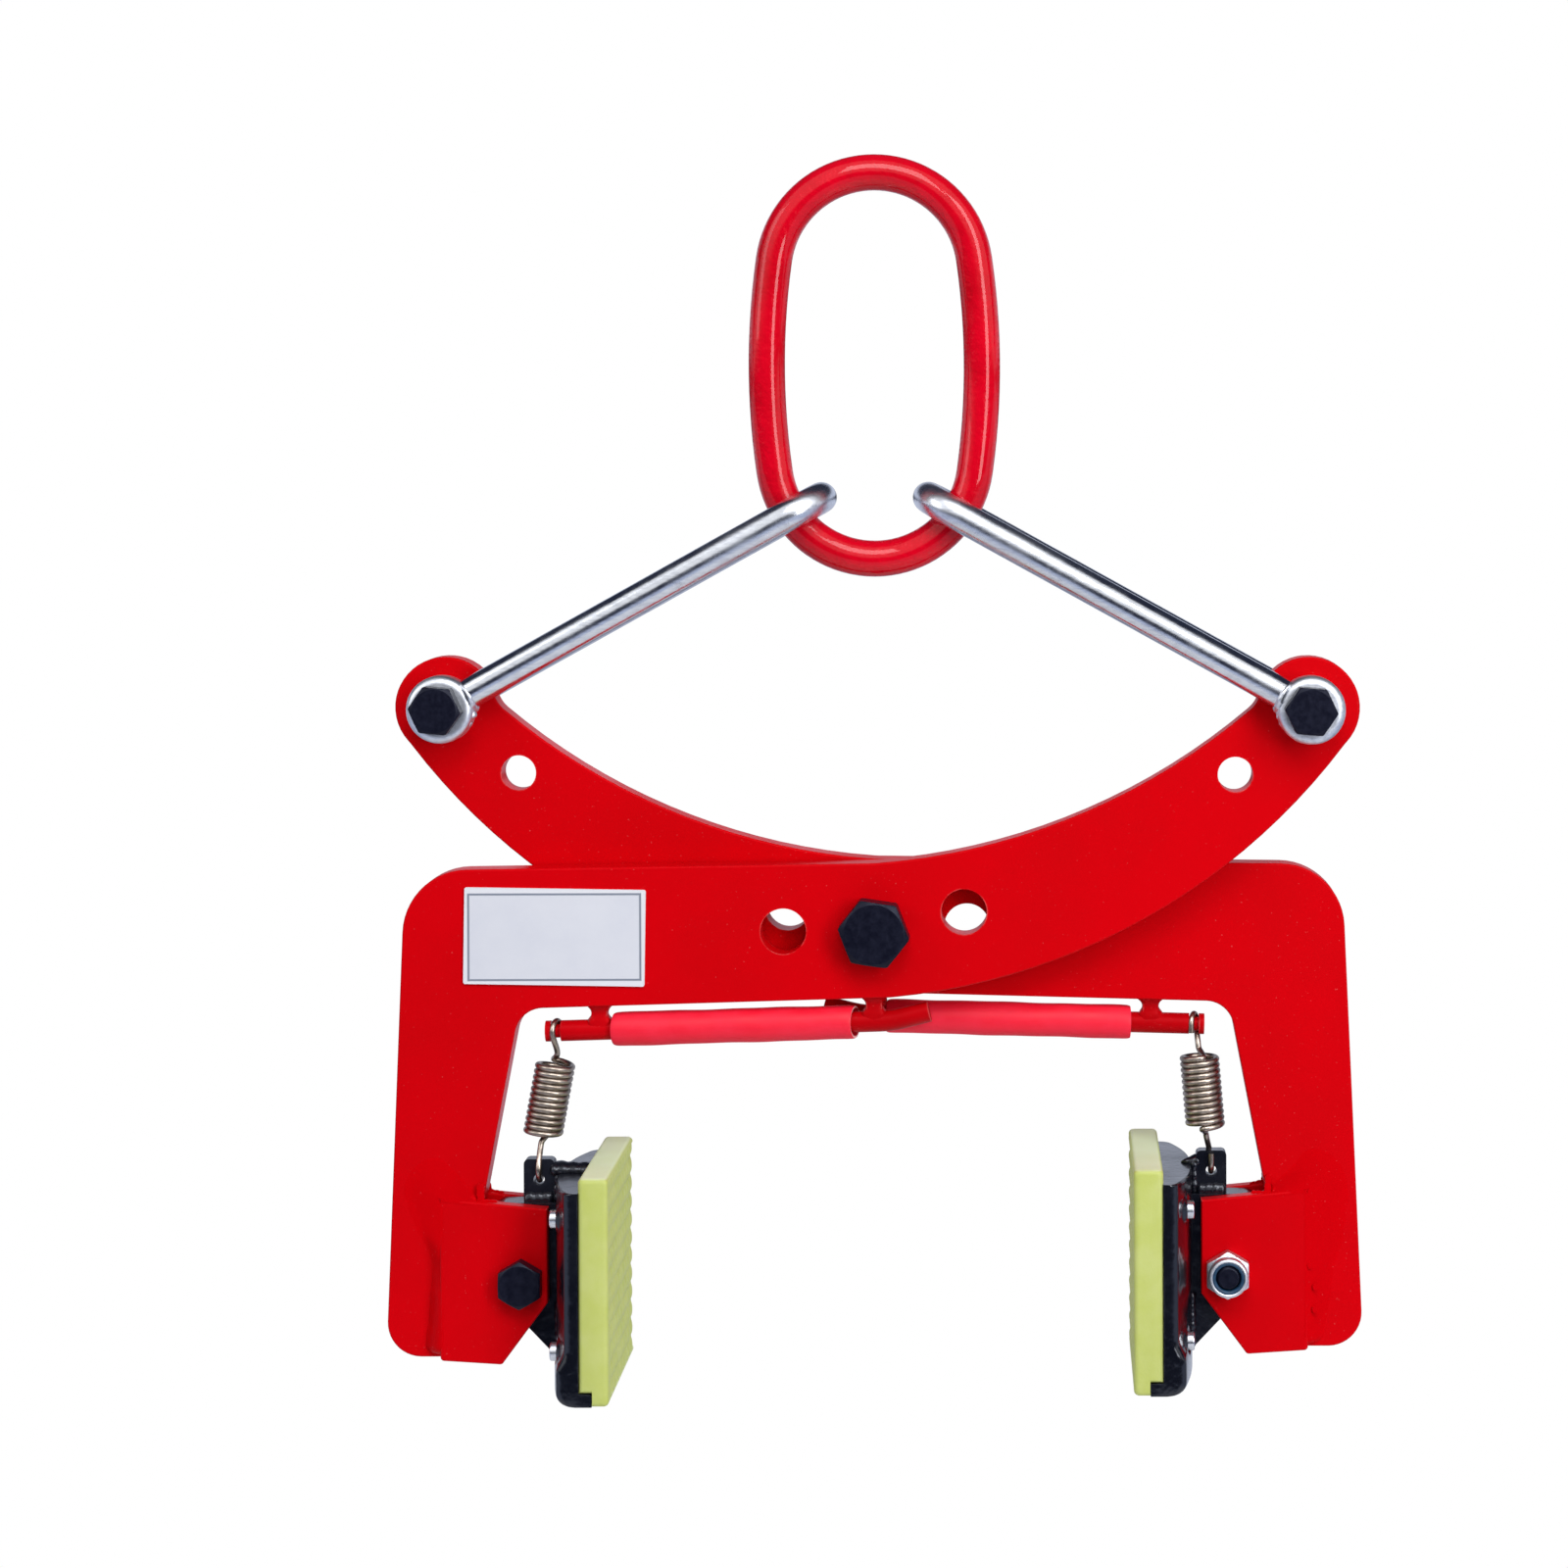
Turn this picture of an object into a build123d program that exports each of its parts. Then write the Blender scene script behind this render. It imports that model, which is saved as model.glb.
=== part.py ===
"""Scissor clamp that lifts kerbs and stone blocks by its own pull.

Two flat arms cross on one pivot bolt. Each arm has a jaw leg on one side and an eye on the other, and a
bail joins each eye to an oblong link. When the link is lifted the eyes come together and the jaws close.
Origin: the seat of the crane hook, on the inside of the link's crown. X is across the jaws, Y runs from
front to back and Z is up. Millimetres.
"""
import os
from math import cos, pi, radians, sin, sqrt, tan

from build123d import *

# Oblong link: two end rounds joined by slightly bowed sides
link_bar = 14.0
link_inner_width = 69.0
link_inner_height = 135.0
link_end_inner_radius = 32.0

# Bails: round rod bent to a bow, with an eye at each end
bail_rod = 12.0
bail_slope = 28.976
bail_eye_diameter = 26.0
bail_eye_width = 12.0
bail_eye_rounding = 3.0
bail_seat_angle = 56.0
bail_seat_gap = 0.3

# Arms: plate outline, seen from the front with the jaw on the left and measured from the pivot bolt
arm_thickness = 12.0
arm_edge_radius = 0.8
eye_reach = 166.4
eye_rise = 85.1
eye_end_radius = 19.5
eye_upper_angle = 174.0
eye_lower_angle = -45.0
eye_throat_radius = 12.0
upper_edge_radius = 250.0
lower_edge_radius = 245.0
lower_edge_start = 5.6
beam_top_at_pivot = 26.0
beam_top_at_leg = 23.6
beam_low_at_pivot = 25.7
beam_low_at_leg = 29.5
leg_foot_width = 35.8
leg_outer_lean = 7.8
leg_inner_lean = 15.8
leg_step_drop = 112.0
leg_foot_drop = 163.0
shoulder_radius = 25.0
heel_radius = 13.0
throat_radius = 11.0
edge_blend_radius = 40.0
spare_eye_bore = 13.5
spare_eye_pitch = 38.0
spare_eye_angle = 42.0
spare_pivot_bore = 17.5
spare_pivot_pitch = 35.0
spare_pivot_angles = (180.0, 12.0)

# Bolts: shank, across flats, head height, nut height, washer
pivot_shank = 16.0
pivot_flats = 24.0
pivot_head = 10.0
pivot_nut_height = 13.0
pivot_spacer = 1.5
pivot_washer_diameter = 34.0
pivot_washer_thickness = 3.0
eye_shank = 12.0
eye_flats = 18.0
eye_head = 7.5
eye_nut_height = 10.8
eye_washer_diameter = 24.0
eye_washer_thickness = 2.5
jaw_shank = 10.0
jaw_flats = 16.0
jaw_head = 6.4
jaw_nut_hex = 7.5
nut_collar_height = 2.5
nut_collar_diameter = 14.6
nut_insert_diameter = 12.4
nut_insert_height = 1.8
thread_stand_out = 3.0
running_clearance = 0.1
side_play = 0.15
hex_corner_slope = 60.0
jaw_hex_turn = 30.0
pivot_hex_turn = -8.6

# Jaw: cheek plates welded on the leg, and the pivot of the grip between them
jaw_reach = 135.0
jaw_drop = 133.0
cheek_thickness = 6.0
cheek_lap = 14.0
cheek_front = 10.0
cheek_rise = 28.0
cheek_top_fall = 4.0
cheek_drop = 30.0
cheek_foot_fall = 1.5
cheek_corner_radius = 1.5
cheek_nose_drop = 8.0
cheek_bevel_run = 17.5

# Grip: lug, spring tab, carrier block, screws and elastomer pad
lug_side_clearance = 0.3
lug_back_clearance = 4.0
lug_radius = 13.0
lug_heel_angle = 250.0
lug_back_angle = 180.0
lug_rise = 29.0
lug_foot_drop = 31.0
lug_corner_radius = 6.0
tab_thickness = 6.0
tab_width = 11.8
tab_offset = 5.7
tab_height = 16.3
tab_corner_radius = 2.0
tab_hole = 4.2
tab_hole_drop = 7.8
carrier_offset = 13.5
carrier_thickness = 11.9
carrier_height = 80.0
carrier_rise = 40.0
carrier_back_radius = 8.0
carrier_end_thickness = 8.8
carrier_end_radius = 4.0
carrier_flat = 14.0
carrier_lip = 5.0
pad_thickness = 11.3
pad_width = 80.0
pad_rise = 45.5
groove_pitch = 7.2
groove_depth = 1.3
groove_mouth = 3.2
groove_floor = 0.8
screw_shank = 4.0
screw_clearance = 0.25
screw_head_diameter = 7.0
screw_head_height = 2.6
screw_head_radius = 0.6
screw_seat_thickness = 9.4
screw_seat_margin = 1.0
screw_bite = 6.0
screw_span = 50.0
screw_spread = 56.0
screw_rise = 28.0

# Rest bar under each beam, with its soft sleeve, posts and spring neck
bar_diameter = 8.0
bar_below_beam = 9.8
bar_leg_gap = 9.4
tail_start = 6.0
tail_reach = 20.7
tail_rise = 3.2
tail_bend_radius = 40.0
neck_diameter = 5.2
neck_width = 3.8
neck_back = 4.0
sleeve_diameter = 13.0
sleeve_bore_clearance = 0.1
sleeve_mouth_diameter = 10.8
sleeve_mouth_depth = 6.0
sleeve_bar_end = 26.8
sleeve_inner_end = 4.5
post_width = 6.0
post_depth = 6.0
post_bar_end = 20.8
inner_post_place = -0.5

# Extension spring between the bar's neck and the tab
spring_wire = 1.8
spring_diameter = 14.0
spring_turns = 12
spring_pitch = 2.3
spring_hook_clearance = 0.4
spring_tab_clearance = 0.6
spring_hook_sink = 0.5
spring_end_rise = 7.0
spring_hook_tail = 1.5

# Rating plate, blank
plate_width = 69.4
plate_height = 37.0
plate_thickness = 1.0
plate_corner_radius = 0.8
plate_inset = 57.5
plate_drop = 1.8
plate_tilt = -1.0

os.makedirs("parts", exist_ok=True)

# Where the pieces stand across Y, as distances from the middle plane
arm_inner_face = pivot_spacer / 2
arm_outer_face = arm_inner_face + arm_thickness
arm_middle = (arm_inner_face + arm_outer_face) / 2
bail_half_gap = arm_thickness / 2 + eye_washer_thickness + side_play + bail_eye_width / 2
eye_stack_half = bail_half_gap + bail_eye_width / 2 + side_play

# The leg stands clear of the lug behind the jaw bolt, and the rest bar ends short of the leg
leg_inner_foot = jaw_reach + lug_radius + lug_back_clearance
leg_inner_top = leg_inner_foot - leg_inner_lean
leg_outer_foot = leg_inner_foot + leg_foot_width
leg_outer_top = leg_outer_foot - leg_outer_lean
cheek_back = leg_inner_foot - jaw_reach + cheek_lap
bar_reach = leg_inner_top - bar_leg_gap
sleeve_outer_end = bar_reach - sleeve_bar_end
post_places = (post_bar_end - bar_reach, inner_post_place)

# The link hangs on the bails' bows, which fixes the pivot's height below the hook seat
link_half_width = (link_inner_width + link_bar) / 2
link_half_height = (link_inner_height + link_bar) / 2
link_end_radius = link_end_inner_radius + link_bar / 2
link_end_offset = link_half_height - link_end_radius
seat_x = link_end_radius * sin(radians(bail_seat_angle))
seat_z = eye_rise + (eye_reach - seat_x) * tan(radians(bail_slope))
seat_run = (eye_reach - seat_x) / cos(radians(bail_slope))
bail_seat = sqrt(seat_run**2 + arm_middle**2)
bail_length = bail_seat + bail_rod / 2 + link_bar / 2 + bail_seat_gap
link_low_centre = seat_z + link_end_radius * cos(radians(bail_seat_angle))
pivot_z = -(link_low_centre + 2 * link_end_offset + link_end_inner_radius)

# Each arm is drawn in its own view, jaw on the left: the front one from the front, the rear one from behind
front_view = Plane(origin=(0, 0, pivot_z), x_dir=(1, 0, 0), z_dir=(0, -1, 0))
rear_view = Plane(origin=(0, 0, pivot_z), x_dir=(-1, 0, 0), z_dir=(0, 1, 0))
sides = (
    ("front_arm", "left", "right", front_view, 1),
    ("back_arm", "right", "left", rear_view, -1),
)


def low_edge(x):
    """Height of the beam's straight lower edge at x."""
    return -beam_low_at_pivot + x * (beam_low_at_leg - beam_low_at_pivot) / leg_inner_top


def bar_axis(x):
    """Height of the rest bar's axis at x, parallel to the beam's lower edge."""
    return low_edge(x) - bar_below_beam


def on_circle(centre, radius, angle):
    """Point of a circle at an angle in degrees."""
    return (centre[0] + radius * cos(radians(angle)), centre[1] + radius * sin(radians(angle)))


def place(view, x, y, z):
    """Point given in an arm's view, as a point of the whole clamp."""
    return view.origin + view.x_dir * x + view.y_dir * y + view.z_dir * z


def aim(view, x, y, z):
    """Direction given in an arm's view, as a direction of the whole clamp."""
    return (view.x_dir * x + view.y_dir * y + view.z_dir * z).normalized()


def hexagon(plane, flats, height, turn=0):
    """Six-sided block on a plane, turned by some degrees, with the corners of its far end turned down."""
    with BuildSketch(plane) as block:
        RegularPolygon(flats / 2, 6, major_radius=False, rotation=turn)
    extrude(block.sketch, amount=height)
    with BuildSketch(plane.offset(height)) as crown:
        Circle(flats / 2)
    extrude(crown.sketch, amount=-height, taper=-hex_corner_slope, mode=Mode.INTERSECT)


def rod(plane, diameter, length, mode=Mode.ADD):
    """Round bar standing on a plane."""
    with BuildSketch(plane) as section:
        Circle(diameter / 2)
    extrude(section.sketch, amount=length, mode=mode)


def ring(plane, outer, inner, length):
    """Washer or short tube standing on a plane."""
    with BuildSketch(plane) as section:
        Circle(outer / 2)
        Circle(inner / 2, mode=Mode.SUBTRACT)
    extrude(section.sketch, amount=length)


def save(piece, name):
    """Label a finished piece and write it under its own name."""
    piece.part.label = name
    export_step(piece.part, f"parts/{name}.step")


# Oblong link: one bar bent to an oval of four arcs, each tangent to the next, and welded
with BuildPart() as master_link:
    side_bow = link_half_width - link_end_radius
    side_radius = (link_end_offset**2 / side_bow + link_half_width + link_end_radius) / 2
    side_lean = link_end_offset / (side_radius - link_end_radius)
    meet_x = link_end_radius * sqrt(1 - side_lean**2)
    meet_y = link_end_offset + link_end_radius * side_lean
    link_view = Plane(origin=(0, 0, -link_inner_height / 2), x_dir=(1, 0, 0), z_dir=(0, -1, 0))
    with BuildLine(link_view) as link_path:
        ThreePointArc((-meet_x, -meet_y), (-link_half_width, 0), (-meet_x, meet_y))
        ThreePointArc((-meet_x, meet_y), (0, link_half_height), (meet_x, meet_y))
        ThreePointArc((meet_x, meet_y), (link_half_width, 0), (meet_x, -meet_y))
        ThreePointArc((meet_x, -meet_y), (0, -link_half_height), (-meet_x, -meet_y))
    with BuildSketch(Plane(origin=link_path.line @ 0, z_dir=link_path.line % 0)):
        Circle(link_bar / 2)
    sweep()
save(master_link, "master_link")

# Arms
eye = (eye_reach, eye_rise)
upper_spare = on_circle(eye, -spare_eye_pitch, spare_eye_angle)
for arm_name, jaw_side, eye_side, view, outward in sides:
    with BuildPart() as arm:
        with BuildSketch(view.offset(arm_inner_face)) as outline:
            with BuildLine():
                top = (0, beam_top_at_pivot)
                shoulder = (-leg_outer_top, beam_top_at_leg)
                heel = (-leg_outer_foot, -leg_foot_drop)
                toe = (-leg_inner_foot, -leg_foot_drop)
                step = (-leg_inner_foot, -leg_step_drop)
                throat = (-leg_inner_top, -beam_low_at_leg)
                belly = (lower_edge_start, low_edge(lower_edge_start))
                eye_low = on_circle(eye, eye_end_radius, eye_lower_angle)
                eye_tip = on_circle(eye, eye_end_radius, (eye_lower_angle + eye_upper_angle) / 2)
                eye_high = on_circle(eye, eye_end_radius, eye_upper_angle)
                Polyline(top, shoulder, heel, toe, step, throat, belly)
                RadiusArc(belly, eye_low, -lower_edge_radius)
                ThreePointArc(eye_low, eye_tip, eye_high)
                RadiusArc(eye_high, top, upper_edge_radius)
            make_face()
            rounds = ((shoulder, shoulder_radius), (heel, heel_radius), (throat, throat_radius),
                      (eye_high, eye_throat_radius), (top, edge_blend_radius), (belly, edge_blend_radius),
                      (step, edge_blend_radius), (eye_low, eye_end_radius))
            for corner, radius in rounds:
                fillet(outline.vertices().sort_by_distance(corner)[0], radius)
        extrude(amount=arm_thickness)
        flat_faces = arm.faces().filter_by(Axis.Y)
        fillet(flat_faces.edges(), arm_edge_radius)
        bores = view.offset(arm_outer_face)
        with Locations(bores):
            Hole(pivot_shank / 2 + running_clearance, depth=arm_thickness)
        with Locations(bores.location * Location((*eye, 0))):
            Hole(eye_shank / 2 + running_clearance, depth=arm_thickness)
        with Locations(bores.location * Location((*upper_spare, 0))):
            Hole(spare_eye_bore / 2, depth=arm_thickness)
        for angle in spare_pivot_angles:
            with Locations(bores.location * Location((*on_circle((0, 0), spare_pivot_pitch, angle), 0))):
                Hole(spare_pivot_bore / 2, depth=arm_thickness)
    save(arm, arm_name)

# Main pivot: bolt from the front, spacer between the arms, washer and nut behind
pivot_back = front_view.offset(-arm_outer_face)
pivot_length = 2 * arm_outer_face + pivot_washer_thickness + pivot_nut_height + thread_stand_out
with BuildPart() as pivot_bolt:
    hexagon(front_view.offset(arm_outer_face), pivot_flats, pivot_head, pivot_hex_turn)
    rod(front_view.offset(arm_outer_face), pivot_shank, -pivot_length)
save(pivot_bolt, "pivot_bolt")

with BuildPart() as spacer:
    ring(front_view.offset(-pivot_spacer / 2), pivot_washer_diameter,
         pivot_shank + 2 * running_clearance, pivot_spacer)
save(spacer, "pivot_spacer")

with BuildPart() as pivot_washer:
    ring(pivot_back, pivot_washer_diameter, pivot_shank + 2 * running_clearance, -pivot_washer_thickness)
save(pivot_washer, "pivot_washer")

pivot_nut_seat = Plane(pivot_back.origin + Vector(0, pivot_washer_thickness, 0), (1, 0, 0), (0, 1, 0))
with BuildPart() as pivot_nut:
    hexagon(pivot_nut_seat, pivot_flats, pivot_nut_height)
    rod(pivot_nut_seat, pivot_shank, pivot_nut_height, Mode.SUBTRACT)
save(pivot_nut, "pivot_nut")

# Bails and the bolts of their eyes; both bolts are put in from the front
for arm_name, jaw_side, eye_side, view, outward in sides:
    eye_centre = place(view, *eye, arm_middle)
    seat = place(view, seat_x, seat_z, 0)
    along = (seat - eye_centre).normalized()
    lean = aim(view, seat_z - eye_rise, eye_reach - seat_x, 0)
    bail_plane = Plane(origin=eye_centre, x_dir=along, z_dir=lean)
    eye_axis = Plane(origin=eye_centre, x_dir=view.x_dir, z_dir=view.z_dir)

    bow_start = bail_length - bail_half_gap
    with BuildPart() as bail:
        with BuildLine(bail_plane) as bow:
            Line((0, -bail_half_gap), (bow_start, -bail_half_gap))
            ThreePointArc((bow_start, -bail_half_gap), (bail_length, 0), (bow_start, bail_half_gap))
            Line((bow_start, bail_half_gap), (0, bail_half_gap))
        with BuildSketch(Plane(origin=bow.line @ 0, z_dir=bow.line % 0)):
            Circle(bail_rod / 2)
        sweep()
        rod(eye_axis.offset(-2 * eye_stack_half), bail_eye_diameter, 4 * eye_stack_half, Mode.SUBTRACT)
    save(bail, f"{eye_side}_bail_rod")

    with BuildPart() as bail_eyes:
        for middle in (-bail_half_gap, bail_half_gap):
            ring(eye_axis.offset(middle - bail_eye_width / 2), bail_eye_diameter,
                 eye_shank + 2 * running_clearance, bail_eye_width)
        fillet(bail_eyes.edges().filter_by(GeomType.CIRCLE).filter_by(
            lambda edge: edge.radius > eye_shank), bail_eye_rounding)
    save(bail_eyes, f"{eye_side}_bail_eyes")

    head_side = eye_axis.offset(outward * eye_stack_half).origin
    nut_side = eye_axis.offset(-outward * eye_stack_half).origin
    head_seat = Plane(origin=head_side, x_dir=(1, 0, 0), z_dir=(0, -1, 0))
    nut_seat = Plane(origin=nut_side, x_dir=(1, 0, 0), z_dir=(0, 1, 0))
    with BuildPart() as eye_bolt:
        hexagon(head_seat, eye_flats, eye_head)
        rod(head_seat, eye_shank, -(2 * eye_stack_half + eye_nut_height + thread_stand_out))
    save(eye_bolt, f"{eye_side}_eye_bolt")

    with BuildPart() as eye_nut:
        hexagon(nut_seat, eye_flats, eye_nut_height)
        rod(nut_seat, eye_shank, eye_nut_height, Mode.SUBTRACT)
    save(eye_nut, f"{eye_side}_eye_nut")

    with BuildPart() as eye_washers:
        for face in (arm_thickness / 2, -arm_thickness / 2 - eye_washer_thickness):
            ring(eye_axis.offset(face), eye_washer_diameter, eye_shank + 2 * running_clearance,
                 eye_washer_thickness)
    save(eye_washers, f"{eye_side}_eye_washers")

# Cheek plates and the grip bolt of each jaw
for arm_name, jaw_side, eye_side, view, outward in sides:
    names = ("front", "rear") if outward > 0 else ("rear", "front")
    jaw_axis = Plane(origin=place(view, -jaw_reach, -jaw_drop, 0), x_dir=view.x_dir, z_dir=view.z_dir)
    for name, face in zip(names, (arm_outer_face, arm_inner_face - cheek_thickness)):
        with BuildPart() as cheek:
            with BuildSketch(jaw_axis.offset(face)) as cheek_outline:
                Polygon(
                    (-cheek_back, cheek_rise + cheek_top_fall),
                    (cheek_front, cheek_rise),
                    (cheek_front, -cheek_nose_drop),
                    (cheek_front - cheek_bevel_run, -cheek_drop - cheek_foot_fall),
                    (-cheek_back, -cheek_drop),
                    align=None,
                )
                fillet(cheek_outline.vertices().sort_by(Axis.Y)[:2], cheek_corner_radius)
            extrude(amount=cheek_thickness)
            fillet(cheek.faces().filter_by(Axis.Y).edges(), arm_edge_radius)
            rod(jaw_axis.offset(face), jaw_shank + 2 * running_clearance, cheek_thickness, Mode.SUBTRACT)
        save(cheek, f"{jaw_side}_{name}_cheek")

    head_face = jaw_axis.offset(arm_outer_face + cheek_thickness)
    nut_face = Plane(origin=jaw_axis.offset(arm_inner_face - cheek_thickness).origin,
                     x_dir=view.x_dir, z_dir=-view.z_dir)
    grip = arm_thickness + 2 * cheek_thickness
    nut_total = jaw_nut_hex + nut_collar_height
    with BuildPart() as jaw_bolt:
        hexagon(head_face, jaw_flats, jaw_head, jaw_hex_turn)
        rod(head_face, jaw_shank, -(grip + nut_total + thread_stand_out))
    save(jaw_bolt, f"{jaw_side}_jaw_bolt")

    with BuildPart() as jaw_nut:
        hexagon(nut_face, jaw_flats, jaw_nut_hex, jaw_hex_turn)
        rod(nut_face.offset(jaw_nut_hex), nut_collar_diameter, nut_collar_height)
        rod(nut_face, jaw_shank, nut_total, Mode.SUBTRACT)
        rod(nut_face.offset(nut_total), nut_insert_diameter, -nut_insert_height, Mode.SUBTRACT)
    save(jaw_nut, f"{jaw_side}_jaw_nut")

    with BuildPart() as nut_insert:
        ring(nut_face.offset(nut_total), nut_insert_diameter, jaw_shank, -nut_insert_height)
    save(nut_insert, f"{jaw_side}_nut_insert")

# Grips: each turns on its jaw bolt, on the middle plane of its own arm
for arm_name, jaw_side, eye_side, view, outward in sides:
    grip_centre = place(view, -jaw_reach, -jaw_drop, arm_middle)
    grip_axis = Plane(origin=grip_centre, x_dir=view.x_dir, z_dir=view.z_dir)
    lug_thickness = arm_thickness - 2 * lug_side_clearance
    carrier_front = carrier_offset + carrier_thickness
    pad_face = carrier_front + pad_thickness
    carrier_top = carrier_rise
    carrier_foot = carrier_rise - carrier_height

    with BuildPart() as lug:
        with BuildSketch(grip_axis.offset(-lug_thickness / 2)) as lug_outline:
            with BuildLine():
                heel_start = on_circle((0, 0), lug_radius, lug_heel_angle)
                heel_middle = on_circle((0, 0), lug_radius, (lug_heel_angle + lug_back_angle) / 2)
                back_start = on_circle((0, 0), lug_radius, lug_back_angle)
                back_corner = (-lug_radius, lug_rise)
                ThreePointArc(heel_start, heel_middle, back_start)
                Polyline(back_start, back_corner, (carrier_offset, lug_rise),
                         (carrier_offset, -lug_foot_drop), heel_start)
            make_face()
            fillet(lug_outline.vertices().sort_by_distance(back_corner)[0], lug_corner_radius)
        extrude(amount=lug_thickness)
        lug_back = grip_axis.offset(-lug_thickness / 2)
        rod(lug_back, jaw_shank + 2 * running_clearance, lug_thickness, Mode.SUBTRACT)
    save(lug, f"{jaw_side}_lug")

    tab_top = lug_rise + tab_height
    with BuildPart() as tab:
        with BuildSketch(grip_axis.offset(-tab_thickness / 2)) as tab_outline:
            with Locations((tab_offset, lug_rise)):
                Rectangle(tab_width, tab_height, align=(Align.CENTER, Align.MIN))
            fillet(tab_outline.vertices().group_by(Axis.Y)[-1], tab_corner_radius)
            with Locations((tab_offset, tab_top - tab_hole_drop)):
                Circle(tab_hole / 2, mode=Mode.SUBTRACT)
        extrude(amount=tab_thickness)
    save(tab, f"{jaw_side}_spring_tab")

    with BuildPart() as carrier:
        with BuildSketch(grip_axis.offset(-pad_width / 2)) as section:
            with BuildLine():
                foot_corner = (carrier_offset, carrier_foot)
                Polyline(
                    (carrier_offset, carrier_top),
                    (carrier_front, carrier_top),
                    (carrier_front, carrier_foot + carrier_lip),
                    (carrier_front + carrier_lip, carrier_foot + carrier_lip),
                    (carrier_front + carrier_lip, carrier_foot),
                    foot_corner,
                    close=True,
                )
            make_face()
            fillet(section.vertices().sort_by_distance(foot_corner)[0], carrier_back_radius)
        extrude(amount=pad_width)
        carrier_plan = Plane(origin=place(view, -jaw_reach, carrier_foot - jaw_drop, arm_middle),
                             x_dir=view.x_dir, z_dir=(0, 0, 1))
        with BuildSketch(carrier_plan) as plan:
            with BuildLine():
                end_back = carrier_front - carrier_end_thickness
                end_corners = [(end_back, pad_width / 2), (end_back, -pad_width / 2)]
                flat_ends = [(carrier_offset, carrier_flat / 2), (carrier_offset, -carrier_flat / 2)]
                Line(*flat_ends)
                TangentArc(flat_ends[0], end_corners[0], tangent=(0, 1))
                TangentArc(flat_ends[1], end_corners[1], tangent=(0, -1))
                Polyline(end_corners[0], (carrier_front + carrier_lip, pad_width / 2),
                         (carrier_front + carrier_lip, -pad_width / 2), end_corners[1])
            make_face()
            fillet([plan.vertices().sort_by_distance(corner)[0] for corner in end_corners],
                   carrier_end_radius)
        extrude(amount=carrier_height, mode=Mode.INTERSECT)
        screw_face = Plane(origin=place(view, carrier_offset - jaw_reach, -jaw_drop, arm_middle),
                           x_dir=view.z_dir, z_dir=-view.x_dir)
        screw_middle = screw_face.location * Location((0, screw_rise - screw_span / 2, 0))
        seats = Plane(screw_middle).offset(screw_seat_thickness - carrier_thickness)
        with BuildSketch(seats):
            with GridLocations(screw_spread, screw_span, 2, 2):
                Circle(screw_head_diameter / 2 + screw_seat_margin)
        extrude(amount=carrier_thickness - screw_seat_thickness, mode=Mode.SUBTRACT)
        with BuildSketch(seats):
            with GridLocations(screw_spread, screw_span, 2, 2):
                Circle(screw_shank / 2 + screw_clearance)
        extrude(amount=-screw_seat_thickness, mode=Mode.SUBTRACT)
    save(carrier, f"{jaw_side}_carrier")

    with BuildPart() as screws:
        with BuildSketch(seats):
            with GridLocations(screw_spread, screw_span, 2, 2):
                Circle(screw_head_diameter / 2)
        extrude(amount=screw_head_height)
        head_tops = screws.faces().group_by(Axis(screw_face.origin, screw_face.z_dir))[-1]
        fillet(head_tops.edges(), screw_head_radius)
        with BuildSketch(seats):
            with GridLocations(screw_spread, screw_span, 2, 2):
                Circle(screw_shank / 2)
        extrude(amount=-(screw_seat_thickness + screw_bite))
    save(screws, f"{jaw_side}_carrier_screws")

    with BuildPart() as pad:
        with BuildSketch(grip_axis.offset(-pad_width / 2)):
            Polygon(
                (carrier_front, pad_rise),
                (pad_face, pad_rise),
                (pad_face, carrier_foot),
                (carrier_front + carrier_lip, carrier_foot),
                (carrier_front + carrier_lip, carrier_foot + carrier_lip),
                (carrier_front, carrier_foot + carrier_lip),
                align=None,
            )
        extrude(amount=pad_width)
        pad_height = pad_rise - carrier_foot
        rows = round(pad_height / groove_pitch)
        columns = round(pad_width / groove_pitch)
        row_pitch = pad_height / rows
        column_pitch = pad_width / columns
        pad_middle = (pad_rise + carrier_foot) / 2
        with BuildSketch(grip_axis.offset(-pad_width / 2)):
            with Locations((pad_face, pad_middle)):
                with GridLocations(0, row_pitch, 1, rows - 1):
                    Polygon((0, groove_mouth / 2), (-groove_depth, groove_floor / 2),
                            (-groove_depth, -groove_floor / 2), (0, -groove_mouth / 2), align=None)
        extrude(amount=pad_width, mode=Mode.SUBTRACT)
        pad_plan = Plane(origin=place(view, pad_face - jaw_reach, carrier_foot - jaw_drop, arm_middle),
                         x_dir=view.x_dir, z_dir=(0, 0, 1))
        with BuildSketch(pad_plan):
            with GridLocations(0, column_pitch, 1, columns - 1):
                Polygon((0, groove_mouth / 2), (-groove_depth, groove_floor / 2),
                        (-groove_depth, -groove_floor / 2), (0, -groove_mouth / 2), align=None)
        extrude(amount=pad_height, mode=Mode.SUBTRACT)
        with BuildSketch(Plane(screw_middle).offset(-carrier_thickness)):
            with GridLocations(screw_spread, screw_span, 2, 2):
                Circle(screw_shank / 2)
        extrude(amount=-screw_bite, mode=Mode.SUBTRACT)
    save(pad, f"{jaw_side}_grip_pad")

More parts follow.
